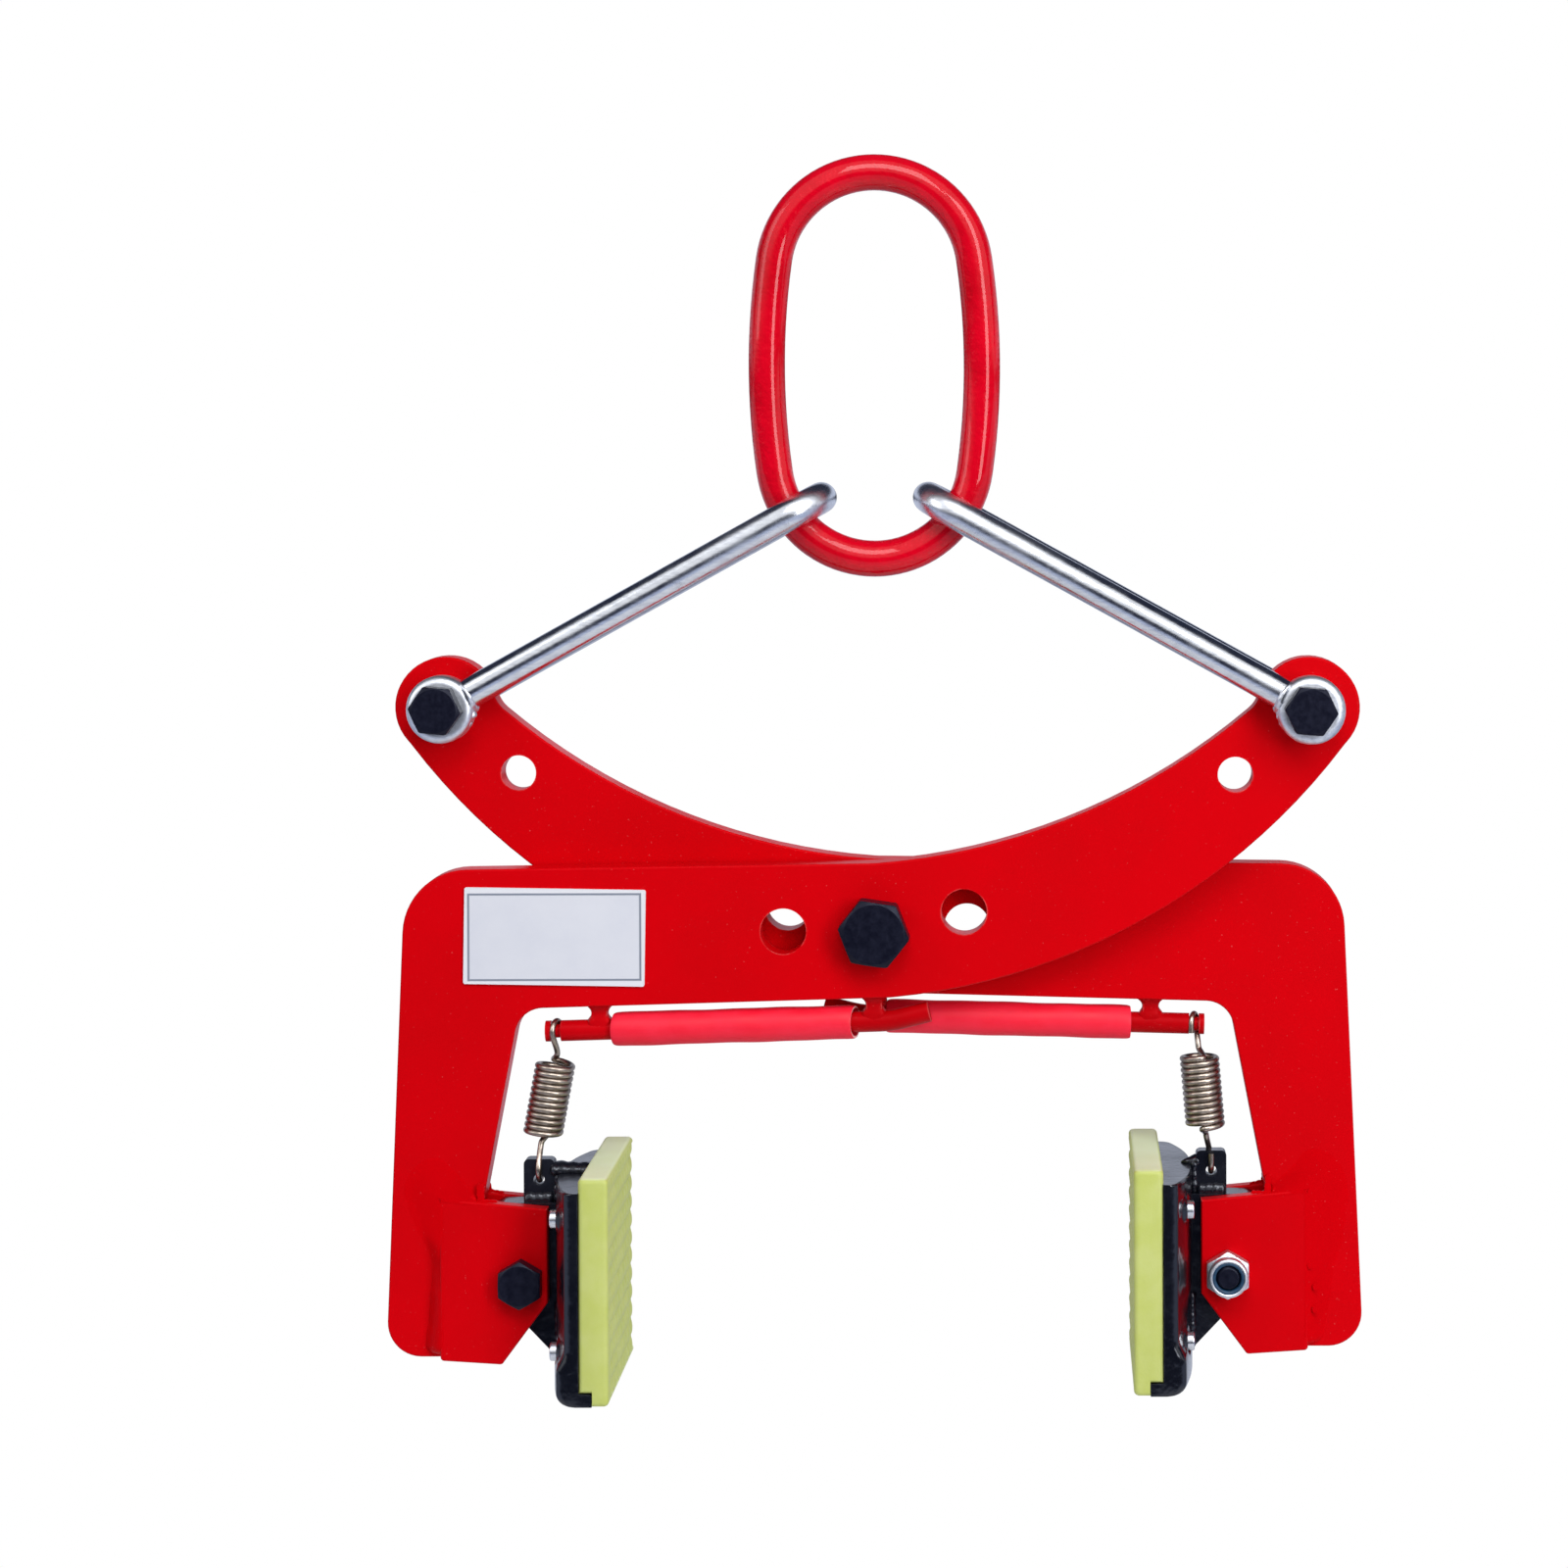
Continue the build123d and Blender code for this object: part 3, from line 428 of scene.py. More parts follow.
# Black oxide: nearly black with a blue cast, slightly mottled, rubbed grey on its rims
bolt_black, wires = start_material("blacked_bolt", black_steel, black_roughness)
grain = wires.noise(wires.place(), 420.0, 6.0, 0.65)
rim = wires.group(rim_mask, Width=0.0006, Wear=0.7)
wires.coat((wires.window(grain, 0.3, 0.75), black_grain), (rim["Rim"], black_rub))
wires.finish(Roughness=wires.window(grain, 0.2, 0.8, black_roughness - 0.08, black_roughness + 0.12),
             Specular_IOR_Level=0.19, Specular_Tint=(0.72, 0.78, 1.0))
wires.emboss(grain, 0.00006)


def column(*values):
    """Numbers one below the other, for a row of stations."""
    return np.array(values, float)[:, None]


def turned(profile, angle, closed):
    """Grid of a body turned about +Y: the profile lists parts, each with the radii and the stations of its rows."""
    radius, station = (np.vstack([part * np.ones_like(angle) for part in parts]) for parts in zip(*profile))
    return np.stack([radius * np.cos(angle), station, radius * np.sin(angle)], axis=-1), closed, True


def hexagon_radius(across_flats, angle):
    """Radius of a hexagon at an angle: flats / 2 over the cosine of the angle from the nearest flat."""
    return across_flats / 2 / np.cos((angle + np.pi / 6) % (np.pi / 3) - np.pi / 6)


def hex_bolt(across_flats, head, shank, length, threaded, pitch, turn):
    """Hexagon bolt along +Y from the top of its head, turned from rings of points.

    In the head the radius is the lesser of the hexagon's and a cone of 30 degrees that turns the corners down. The
    shank is round. In the thread the radius falls by the depth times a triangle wave of the station over the pitch
    less the angle over a turn.
    """
    angle = full_turn(96)
    crown = 0.475 * across_flats
    drop = column(0.0, *np.linspace(0, 0.07, 9)[1:] * across_flats, 0.35 * head, 0.7 * head, head)
    head_side = np.minimum(hexagon_radius(across_flats, angle - turn), crown + drop / np.tan(np.radians(30)))
    thread_way = np.linspace(length - threaded, length - 0.12 * shank, int(threaded / pitch * 10))[:, None]
    wave = np.abs(((thread_way / pitch - angle / (2 * np.pi)) % 1.0) * 2 - 1)
    runout = np.clip((thread_way - length + threaded) / pitch, 0, 1)
    return turned([
        (column(0.0, *np.linspace(0.2, 0.98, 5)) * crown, np.zeros((6, 1))),
        (head_side, drop),
        (column(shank / 2, shank / 2), column(head, length - threaded)),
        (shank / 2 - 0.55 * pitch * wave * runout, thread_way),
        (column(0.40, 0.36, 0.0) * shank, length - column(0.02, 0.0, 0.0) * shank)], angle, False)


bolt = hex_bolt(across_flats=0.024, head=0.010, shank=0.016, length=0.0545, threaded=0.020, pitch=0.002,
                turn=np.radians(21.4))
piece = surface("pivot_hex_bolt", [bolt], bolt_black, 22, at=(0.0, -0.02275, PIVOT_Z))
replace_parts(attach(piece, "pivot"), "pivot_bolt")

zinc_bright, zinc_dull = (0.70, 0.73, 0.79), (0.46, 0.48, 0.55)


def zinc_plate(name, lean, along_scale, roughness, rubbed=0.0):
    """Bright zinc: drawn streaks along one direction, leaning by an angle about Y, and a cloudy passivated film.

    Near the clamp's middle, where a bail bears on the link, the film is rougher by the rubbed amount.
    """
    material, wires = start_material(name, zinc_bright, roughness, 1.0)
    where = wires.place()
    drawn = wires.add("Mapping", Vector=where, Rotation=(0, lean, 0), Scale=(along_scale, 1, 1)).outputs["Vector"]
    streak = wires.noise(drawn, 900.0, 4.0, 0.6)
    film = wires.noise(where, 85.0, 5.0, 0.6)
    share = wires.sums("MULTIPLY", wires.window(streak, 0.35, 0.75), wires.window(film, 0.25, 0.8, 0.35, 1.0))
    bow = wires.window(wires.sums("ABSOLUTE", wires.parts(where)["X"]), 0.050, 0.090, rubbed, 0.0)
    rough = wires.window(film, 0.25, 0.75, roughness - 0.05, roughness + 0.12)
    wires.coat((share, zinc_dull))
    wires.finish(Roughness=wires.sums("ADD", rough, bow))
    wires.emboss(streak, 0.00003)
    return material


fastener_zinc = zinc_plate("fastener_zinc", 0.0, 0.6, 0.26)
dress(fastener_zinc, "pivot_spacer", "pivot_washer", "pivot_nut")


# Bails: 12 mm steel rod bent to a narrow U around the link's bar, a turned eye welded on each end, bright zinc.
# Each eye pair straddles an arm's eye on an M12 bolt, with a washer on both faces of the arm.

eye_reach, eye_z, bail_slope = 0.1664, PIVOT_Z + 0.0851, np.radians(28.976)
bail_half, eye_rim, eye_front, eye_head = 0.01465, 0.0121, 0.0208, 0.0075
eye_zinc = zinc_plate("eye_zinc", 0.0, 0.6, 0.40)


def eye_weld(centre, rod, radius, drop, seed):
    """Weld collar where a bail's rod meets its eye: a ring that follows the rod's seam on the eye.

    The seam's point at an angle lies on the rod's skin, pushed along the rod to where the eye's cylinder about
    Y cuts it: the square root of the eye's radius squared less the offset across Y squared. The ring is slim on
    top and swells by ripples on the side of the drop sign, 1 or -1, where the weld was not ground.
    """
    eye_radius, rod_radius = 0.0127, 0.0059
    depth = np.array([0.0, 1.0, 0.0])
    across = np.cross(rod, depth)
    angle, spin = full_turn(72).T, full_turn(14)
    seam = np.sqrt(eye_radius**2 - (rod_radius * np.cos(angle)) ** 2)
    outward = spoke(angle, across, depth)
    core = centre + seam[..., None] * rod + rod_radius * outward
    rough = 0.5 + 0.5 * drop * np.cos(angle)
    size = radius * (0.45 + 0.75 * rough + 0.30 * rough * np.abs(np.sin(6 * angle + 0.6 * np.cos(spin) + seed)))
    return core + size[..., None] * spoke(spin, outward, rod), True, True


for side, sign, arm, lump in (("left", -1, "back_arm", 1.0), ("right", 1, "front_arm", 0.7)):
    dress(zinc_plate(f"{side}_bail_zinc", -sign * bail_slope, 0.03, 0.17, 0.08), f"{side}_bail_rod")
    dress(eye_zinc, f"{side}_bail_eyes")
    dress(fastener_zinc, f"{side}_eye_nut", f"{side}_eye_washers")
    rod_way = np.array([-sign * np.cos(bail_slope), 0.0, np.sin(bail_slope)])
    middle = sign * arm_middle
    spots = np.radians(90 + sign * np.array([89.0, 108.0, 127.0]))
    welds = []
    for leg in (-1, 1):
        centre = np.array([sign * eye_reach, middle + leg * bail_half, eye_z])
        welds.append(eye_weld(centre, rod_way, 0.0012, sign, 0.9 * leg))
        rim = centre + np.stack([eye_rim * np.cos(spots), np.full(3, leg * 0.0022), eye_rim * np.sin(spots)], axis=-1)
        for step, radius in enumerate((0.0021, 0.0016)):
            welds.append(weld_bead(rim[step], rim[step + 1], lump * radius, 0.0034, leg + 2.0 * step))
    piece = surface(f"{side}_bail_welds", welds, eye_zinc, 60)
    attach(piece, f"{side}_bail")
    bolt = hex_bolt(across_flats=0.0176, head=eye_head, shank=0.012, length=0.0629, threaded=0.016, pitch=0.00175,
                    turn=np.radians(25.0))
    head_top = (sign * eye_reach - 0.0006, middle - eye_front - eye_head, eye_z + 0.0002)
    piece = surface(f"{side}_eye_hex_bolt", [bolt], bolt_black, 22, at=head_top)
    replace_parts(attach(piece, arm), f"{side}_eye_bolt")


# Jaw bolts: M10, blacked, with the head on one cheek and a zinc self-locking nut on the other. The nut's
# nylon ring grips the thread, so that the grip can swing on a bolt that isn't drawn tight.

nylon_blue, nylon_shade = (0.010, 0.055, 0.125), (0.006, 0.034, 0.080)
nylon, wires = start_material("nut_nylon", nylon_blue, 0.42)
grain = wires.noise(wires.place(), 600.0, 4.0)
wires.coat((wires.window(grain, 0.3, 0.7), nylon_shade))
wires.emboss(grain, 0.00004)


def lock_nut(across_flats, height, crown, lip, bore):
    """Self-locking nut along +Y from its seat, turned from rings of points and closed through the bore.

    The hexagon's radius is held under cones of 30 degrees at both ends. Above 58% of the height a round crown rises
    and rolls over a quarter circle to the lip.
    """
    angle = full_turn(96)
    shoulder = 0.58 * height
    low = column(*np.linspace(0, 0.0010, 6), *np.linspace(shoulder - 0.0010, shoulder, 6))
    cone = 0.475 * across_flats + np.minimum(low, shoulder - low) / np.tan(np.radians(30))
    roll = np.linspace(0, np.pi / 2, 8)[:, None]
    soft = crown - lip
    return turned([
        (np.minimum(hexagon_radius(across_flats, angle), cone), low),
        (crown, shoulder + 0.0005),
        (lip + soft * np.cos(roll), height - soft + soft * np.sin(roll)),
        (column(lip - 0.0003, lip - 0.0004, bore, bore), column(height - 0.0002, height - 0.0008, height - 0.0012, 0))
    ], angle, True)


def nylon_ring(height, outer, inner):
    """Nylon ring in the nut's mouth: a closed profile with a rounded brim, turned about Y."""
    size = column(outer, outer, outer - 0.0003, inner + 0.0006, inner + 0.0002, inner, inner)
    way = height - column(0.0030, 0.0007, 0.0004, 0.00035, 0.0006, 0.0012, 0.0030)
    return turned([(size, way)], full_turn(72), True)


nut_zinc = zinc_plate("nut_zinc", 0.0, 0.6, 0.40)
jaw_head = 0.0064
nut_seat, head_top = (jaw_x, 0.00525, jaw_z), (jaw_x, -0.01875 - jaw_head, jaw_z)
nut = lock_nut(across_flats=0.016, height=0.010, crown=0.0076, lip=0.0065, bore=0.0050)
ring = nylon_ring(height=0.010, outer=0.0062, inner=0.0048)
bolt = hex_bolt(across_flats=0.016, head=jaw_head, shank=0.010, length=0.0398, threaded=0.014, pitch=0.0015, turn=0.0)
for side, body in leg_arm.items():
    piece = surface(f"{side}_lock_nut", [nut], nut_zinc, 24, side, nut_seat)
    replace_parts(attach(piece, body), f"{side}_jaw_nut")
    piece = surface(f"{side}_nylon_ring", [ring], nylon, 40, side, nut_seat)
    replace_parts(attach(piece, body), f"{side}_nut_insert")
    piece = surface(f"{side}_jaw_hex_bolt", [bolt], bolt_black, 22, side, head_top)
    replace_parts(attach(piece, body), f"{side}_jaw_bolt")


# Grips: a steel lug, welded to a cast carrier block with a bottom lip, hangs on each jaw bolt; all of it is
# enamelled black. A spring tab stands on the lug's top, and screws from behind hold a moulded polyurethane pad.

enamel_black, enamel_soft, enamel_rub = (0.0030, 0.0036, 0.0072), (0.0065, 0.0070, 0.0120), (0.10, 0.10, 0.12)
black_enamel, wires = start_material("black_enamel", enamel_black, 0.20)
skin = wires.group(paint_skin, Peel=420.0, Sag=120.0)
rim = wires.group(rim_mask, Width=0.0009, Wear=0.35)
wires.coat((skin["Cloud"], enamel_soft), (rim["Rim"], enamel_rub))
wires.finish(Roughness=wires.window(skin["Cloud"], 0.0, 1.0, 0.16, 0.30),
             Specular_Tint=(0.80, 0.86, 1.0), Coat_Weight=0.25, Coat_Roughness=0.07)
wires.emboss(skin["Height"], 0.00012)

pad_green, pad_pale, pad_dust_and_sheen = (0.52, 0.585, 0.135), (0.57, 0.625, 0.205), (0.72, 0.80, 0.53)
grip_rubber, wires = start_material("grip_polyurethane", pad_green, 0.46)
where = wires.place()
bloom = wires.noise(where, 60.0, 5.0, 0.6)
# Up-facing tops are tinted pale: partly settled dust, partly painted sheen of the grazing light
on_top = wires.window(wires.parts(wires.place("Normal"))["Z"], 0.55, 0.95)
dust_and_sheen = wires.sums("MULTIPLY", on_top, wires.window(bloom, 0.2, 0.7, 0.65, 0.95))
wires.coat((wires.window(bloom, 0.3, 0.72), pad_pale), (dust_and_sheen, pad_dust_and_sheen))
wires.finish(Roughness=wires.window(bloom, 0.25, 0.75, 0.40, 0.56),
             Subsurface_Weight=0.20, Subsurface_Radius=(0.004, 0.004, 0.0015))
wires.emboss(wires.noise(where, 900.0, 3.0, 0.6), 0.00005)

pad_face, pad_back, pad_top = jaw_x + 0.0367, jaw_x + 0.0254, jaw_z + 0.0455
pad_near, pad_far = -0.04675, 0.03325
carrier_foot, carrier_lip = jaw_z - 0.040, 0.005


def waffle_pad(rows, columns, depth, plain_edge):
    """Moulded pad: its rounded outline in X and Z carried along Y, with pillows on the gripping face.

    The face's points sink by the depth times 1 - p(y) p(z), where p of the way across a pillow, from -1 to 1, is
    1 - |way| to the power 2.4, so that each pillow rounds down into the grooves; one edge of the pad cuts through
    the outer pillows, and towards the plain edge, near or far, the grooves run out over 6 mm. The foot of the back
    is notched over the carrier's lip, and the outline of both end rows is drawn in to break their edges.
    """
    face, back, top, foot, lip = pad_face, pad_back, pad_top, carrier_foot, carrier_lip
    bend, arc = 0.0019, np.linspace(0, np.pi / 2, 7)
    z_face = np.linspace(foot + bend, top - bend, rows * 12 + 1)
    outline_x = np.concatenate([
        np.full(z_face.shape, face), face - bend + bend * np.cos(arc), back + bend - bend * np.sin(arc),
        [back, back + lip, back + lip], face - bend + bend * np.sin(arc)])
    outline_z = np.concatenate([
        z_face, top - bend + bend * np.sin(arc), top - bend + bend * np.cos(arc),
        [foot + lip, foot + lip, foot], foot + bend - bend * np.cos(arc)])
    y = np.linspace(pad_near + bend, pad_far - bend, columns * 10 + 1)
    across_z = np.abs(((z_face - foot) / (top - foot) * rows) % 1.0 * 2 - 1)
    across_y = np.abs(((y - pad_near) / (pad_far - pad_near) * columns + 0.25) % 1.0 * 2 - 1)
    pillow = (1 - across_z[None, :] ** 2.4) * (1 - across_y[:, None] ** 2.4)
    x = np.repeat(outline_x[None, :], len(y), axis=0)
    x[:, :len(z_face)] -= depth * (1 - pillow) * ease((np.abs(y - plain_edge) - bend) / 0.006)[:, None]
    z = np.repeat(outline_z[None, :], len(y), axis=0)
    middle_x, middle_z = (face + back) / 2, (top + foot) / 2
    turn = np.linspace(0, np.pi / 2, 5)[:-1, None]
    draw = bend * (1 - np.sin(turn))
    thin, short = 1 - 2 * draw / (face - back), 1 - 2 * draw / (top - foot)
    x = np.vstack([middle_x + (x[:1] - middle_x) * thin, x, middle_x + (x[-1:] - middle_x) * thin[::-1]])
    z = np.vstack([middle_z + (z[:1] - middle_z) * short, z, middle_z + (z[-1:] - middle_z) * short[::-1]])
    step = bend * (1 - np.cos(turn[:, 0]))
    way = np.concatenate([pad_near + step, y, pad_far - step[::-1]])
    return np.stack([x, np.repeat(way[:, None], x.shape[1], axis=1), z], axis=-1), False, True


def cast_carrier(height, half):
    """Carrier block: its outline in plan, X and Y, carried up in Z.

    Its depth is full along the middle and falls by the square of the way to both ends, less so in the foot, where
    it swells by a smooth step. Around each screw it is drawn to the seat's depth. A quarter round, the radius less
    the root of its square less the run's, breaks the ends' corners, the foot and the top. The lip stands out in front.
    """
    full, flat, end, end_in_foot = 0.0119, 0.007, 0.0047, 0.0082
    foot_swell, swell_ease, lip_slope = 0.021, 0.009, 0.0003
    seat, seat_reach, seat_ease = 0.0094, 0.0060, 0.0018
    screw_y, screw_low, screw_high = 0.028, 0.018, 0.068
    corner, heel, brow = 0.0025, 0.0050, 0.0010
    arc = np.sin(np.linspace(0, np.pi / 2, 7))
    end_y = half - corner + corner * arc
    y = np.concatenate([-end_y[::-1], np.linspace(corner - half, half - corner, 97)[1:-1], end_y])[None, :]
    z = np.concatenate([heel - heel * arc[::-1], np.linspace(heel, height - brow, 97)[1:-1],
                        height - brow + brow * arc, [carrier_lip - lip_slope]])
    z = np.sort(z)[:, None]
    way = np.clip((np.abs(y) - flat) / (half - flat), 0, 1)
    swell = ease((foot_swell - z) / swell_ease)
    depth = full - (full - end - (end_in_foot - end) * swell) * way ** 2
    apart = np.hypot(np.abs(y) - screw_y, np.minimum(np.abs(z - screw_low), np.abs(z - screw_high)))
    depth = depth + (seat - depth) * ease((seat_reach - apart) / seat_ease)
    for run, radius in ((np.abs(y) - half + corner, corner), (heel - z, heel), (z - height + brow, brow)):
        depth = depth - radius + np.sqrt(radius ** 2 - np.clip(run, 0, radius) ** 2)
    nose = np.where(z < carrier_lip - lip_slope / 3, pad_back + carrier_lip, pad_back)
    x = np.hstack([pad_back - depth, nose, nose])
    y = np.hstack([y, [[half, -half]]])
    return np.stack([x, arm_middle + y * np.ones_like(x), carrier_foot + z * np.ones_like(x)], axis=-1), False, True


def grip_bead(start, end, y, *shape, **lay):
    """Weld bead on a left grip, its ends given in X and Z from the jaw bolt."""
    ends = [(jaw_x + x, y, jaw_z + z) for x, z in (start, end)]
    return weld_bead(*ends, *shape, **lay)


deep, upright = (0, 1, 0), (0, 0, 1)
lug_beads = [grip_bead((0.0135, -0.0305), (0.0135, -0.0082), y, 0.0017, 0.0034, seed)
             for y, seed in ((-0.01245, 0.4), (-0.00105, 2.2))]
lug_beads += [grip_bead((-0.0002, 0.0296), (0.0116, 0.0296), y, 0.0018, 0.0030, seed, lie=upright, broad=1.5)
              for y, seed in ((-0.00975, 1.1), (-0.00375, 2.9))]
lug_beads.append(grip_bead((0.0124, 0.0280), (0.0124, 0.0425), arm_middle, 0.0021, 0.0036, 0.5, lie=deep, broad=1.4))
top_bead = {
    "left": grip_bead((0.0092, 0.0413), (0.0262, 0.0409), arm_middle, 0.0025, 0.0042, 0.8, lie=deep, broad=1.6),
    "right": grip_bead((0.0092, 0.0408), (0.0174, 0.0402), arm_middle, 0.0030, 0.0050, 0.2,
                       lie=deep, broad=1.2, taper=0.75)}
carrier = cast_carrier(height=0.080, half=0.040)
for side, groove, plain_edge in (("left", 0.0010, pad_near), ("right", 0.0013, pad_far)):
    dress(black_enamel, f"{side}_lug", f"{side}_spring_tab")
    dress(fastener_zinc, f"{side}_carrier_screws")
    piece = surface(f"{side}_cast_carrier", [carrier], black_enamel, 50, side, capped=True)
    for cap in piece.data.polygons[-2:]:
        cap.use_smooth = False
    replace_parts(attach(piece, f"{side}_grip"), f"{side}_carrier")
    pad = waffle_pad(rows=12, columns=11, depth=groove, plain_edge=plain_edge)
    piece = surface(f"{side}_waffle_pad", [pad], grip_rubber, 40, side, capped=True)
    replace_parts(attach(piece, f"{side}_grip"), f"{side}_grip_pad")
    piece = surface(f"{side}_grip_welds", [*lug_beads, top_bead[side]], black_enamel, 60, side)
    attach(piece, f"{side}_grip")


# Rest bars: 8 mm round bar under each beam on two welded posts, coated with the arm. Its tail is bent up past the
# pivot, and a soft red sleeve is pushed over the middle so that the stone's top isn't marked.

bar_coat = powder_coat("bar_powder_coat", (0.56, 0.0010, 0.0045), (0.44, 0.0008, 0.0030))
sleeve_red, sleeve_pale, sleeve_cut = (0.88, 0.009, 0.036), (0.92, 0.020, 0.058), (0.90, 0.42, 0.44)
sleeve, wires = start_material("soft_sleeve", sleeve_red, 0.50)
where = wires.place()
drawn = wires.add("Mapping", Vector=where, Scale=(0.03, 1, 1)).outputs["Vector"]
lines = wires.noise(drawn, 1100.0, 3.0)
bloom = wires.noise(where, 75.0, 5.0, 0.6)
cut = wires.window(wires.sums("ABSOLUTE", wires.parts(wires.place("Normal"))["X"]), 0.45, 0.85)
wires.coat((wires.window(bloom, 0.3, 0.75, 0.0, 0.8), sleeve_pale),
           (wires.window(lines, 0.55, 0.8, 0.0, 0.25), sleeve_pale), (cut, sleeve_cut))
wires.finish(Roughness=wires.window(bloom, 0.25, 0.75, 0.44, 0.60), Specular_IOR_Level=0.30,
             Subsurface_Weight=0.12, Subsurface_Radius=(0.004, 0.001, 0.001))
wires.emboss(lines, 0.00005)

beam_drop, bar_drop, bar_rise = 0.0257, 0.0098, (0.0295 - 0.0257) / 0.1362


def on_bar(x):
    """Point of the left rest bar's axis at x; the bar falls slightly towards the leg."""
    return np.array([x, arm_middle, PIVOT_Z - beam_drop - bar_drop + x * bar_rise])


def soft_sleeve(near, far, near_lean, far_lean):
    """Sleeve on a bar between two places in X: a closed profile of way and radius, turned about the bar's axis.

    The outer radius swells by 0.15 mm in slow waves of way and angle and thins by 0.4 mm at the cut ends; the bore
    opens from the bar to a wider mouth at both ends, so that a thin rim shows. Each end is cut askew: its front
    moves along the axis by the end's lean, its back the other way, and the shift fades to nothing at the other end.
    """
    outer, bore, mouth, mouth_depth, mouth_ease = 0.0065, 0.0041, 0.0054, 0.009, 0.002
    first, last = on_bar(near), on_bar(far)
    length, axis = np.linalg.norm(last - first), unit(last - first)
    up = np.array([-axis[2], 0.0, axis[0]])
    end_way = np.array([0.0, 0.0004, 0.0012, 0.003])
    mouth_way = np.array([0.0, mouth_depth, mouth_depth + mouth_ease])
    out_way = np.concatenate([end_way, np.linspace(0.006, length - 0.006, 40), length - end_way[::-1]])
    out_size = outer - 0.0004 * np.exp(-np.minimum(out_way, length - out_way) / 0.0007)
    way = np.concatenate([out_way, length - mouth_way, mouth_way[::-1]])[:, None]
    size = np.concatenate([out_size, [mouth, mouth, bore, bore, mouth, mouth]])[:, None]
    soft = np.concatenate([np.ones(len(out_way)), np.zeros(6)])[:, None]
    angle = full_turn(64)
    size = size + soft * (0.00009 * np.sin(way * 140 + 2 * angle) + 0.00006 * np.sin(way * 310 - angle))
    share = way / length
    way = way + np.sin(angle) * ((1 - share) * near_lean + share * far_lean)
    ring = spoke(angle, up, np.cross(axis, up))
    return first + way[..., None] * axis + size[..., None] * ring, True, True


def post_weld(x, seed):
    """Welds of one post: rings of rounded squares from inside the beam down into the bar, wide at both ends.

    At each station the half widths are the post's plus a flare that fades towards the middle, and the ring is the
    superellipse of power 3.5, made lumpy by 5% waves of the angle.
    """
    post_half, flare_x, flare_beam, flare_bar = 0.0031, 0.0017, 0.0015, 0.0006
    drop = column(-0.0010, -0.0008, 0.0003, 0.0007, 0.0013, 0.0021, 0.0032,
                  0.0040, 0.0047, 0.0054, 0.0061, 0.0070, 0.0086, 0.0088)
    flare = column(0.0, 1.0, 1.0, 0.85, 0.50, 0.22, 0.06, 0.14, 0.36, 0.68, 0.95, 1.0, 0.9, 0.0)
    solid = column(0.0, *np.ones(12), 0.0)
    half_x = solid * (post_half + flare_x * flare)
    half_y = solid * (post_half + np.where(drop > 0.004, flare_bar, flare_beam) * flare)
    angle = full_turn(40)
    lumps = 1 + 0.05 * flare * np.sin(5 * angle + 900 * drop + seed)
    ring_x, ring_y = (np.sign(wave) * np.abs(wave) ** (2 / 3.5) for wave in (np.cos(angle), np.sin(angle)))
    height = (on_bar(x)[2] + bar_drop - drop) * np.ones_like(angle)
    return np.stack([x + half_x * ring_x * lumps, arm_middle + half_y * ring_y * lumps, height], axis=-1), False, True


sleeve_ends = {"left": (-0.1002, -0.0078, -0.0012, -0.0016), "right": (-0.0980, -0.0040, 0.0004, -0.0006)}
post_welds = [post_weld(-0.106, 0.2), post_weld(-0.0005, 1.4)]
for side, body in leg_arm.items():
    dress(bar_coat, f"{side}_rest_bar", f"{side}_rest_posts")
    piece = surface(f"{side}_soft_sleeve", [soft_sleeve(*sleeve_ends[side])], sleeve, 35, side)
    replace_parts(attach(piece, body), f"{side}_rest_sleeve")
    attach(surface(f"{side}_post_welds", post_welds, bar_coat, 60, side), body)


# Springs: close-wound extension springs of oiled wire, hooked round the bar's neck above and through the tab below.
# They pull the grips upright and stretch when a grip tilts.

wire_warm, wire_dark = (0.43, 0.37, 0.32), (0.20, 0.16, 0.13)
spring_wire, wires = start_material("oiled_wire", wire_warm, 0.27, 1.0)
where = wires.place()
oil = wires.noise(where, 240.0, 5.0, 0.62)
wires.coat((wires.window(oil, 0.35, 0.75), wire_dark))
wires.finish(Roughness=wires.window(oil, 0.25, 0.8, 0.27, 0.42))
wires.emboss(wires.noise(where, 1500.0, 3.0), 0.00002)


def cubic(p0, d0, p1, d1):
    """Points on the cubic from p0 to p1 that leaves along d0 and arrives along d1, without its ends."""
    t = np.linspace(0, 1, 14)[1:-1, None]
    return ((2 * t**3 - 3 * t**2 + 1) * p0 + (t**3 - 2 * t**2 + t) * d0
            + (3 * t**2 - 2 * t**3) * p1 + (t**3 - t**2) * d1)


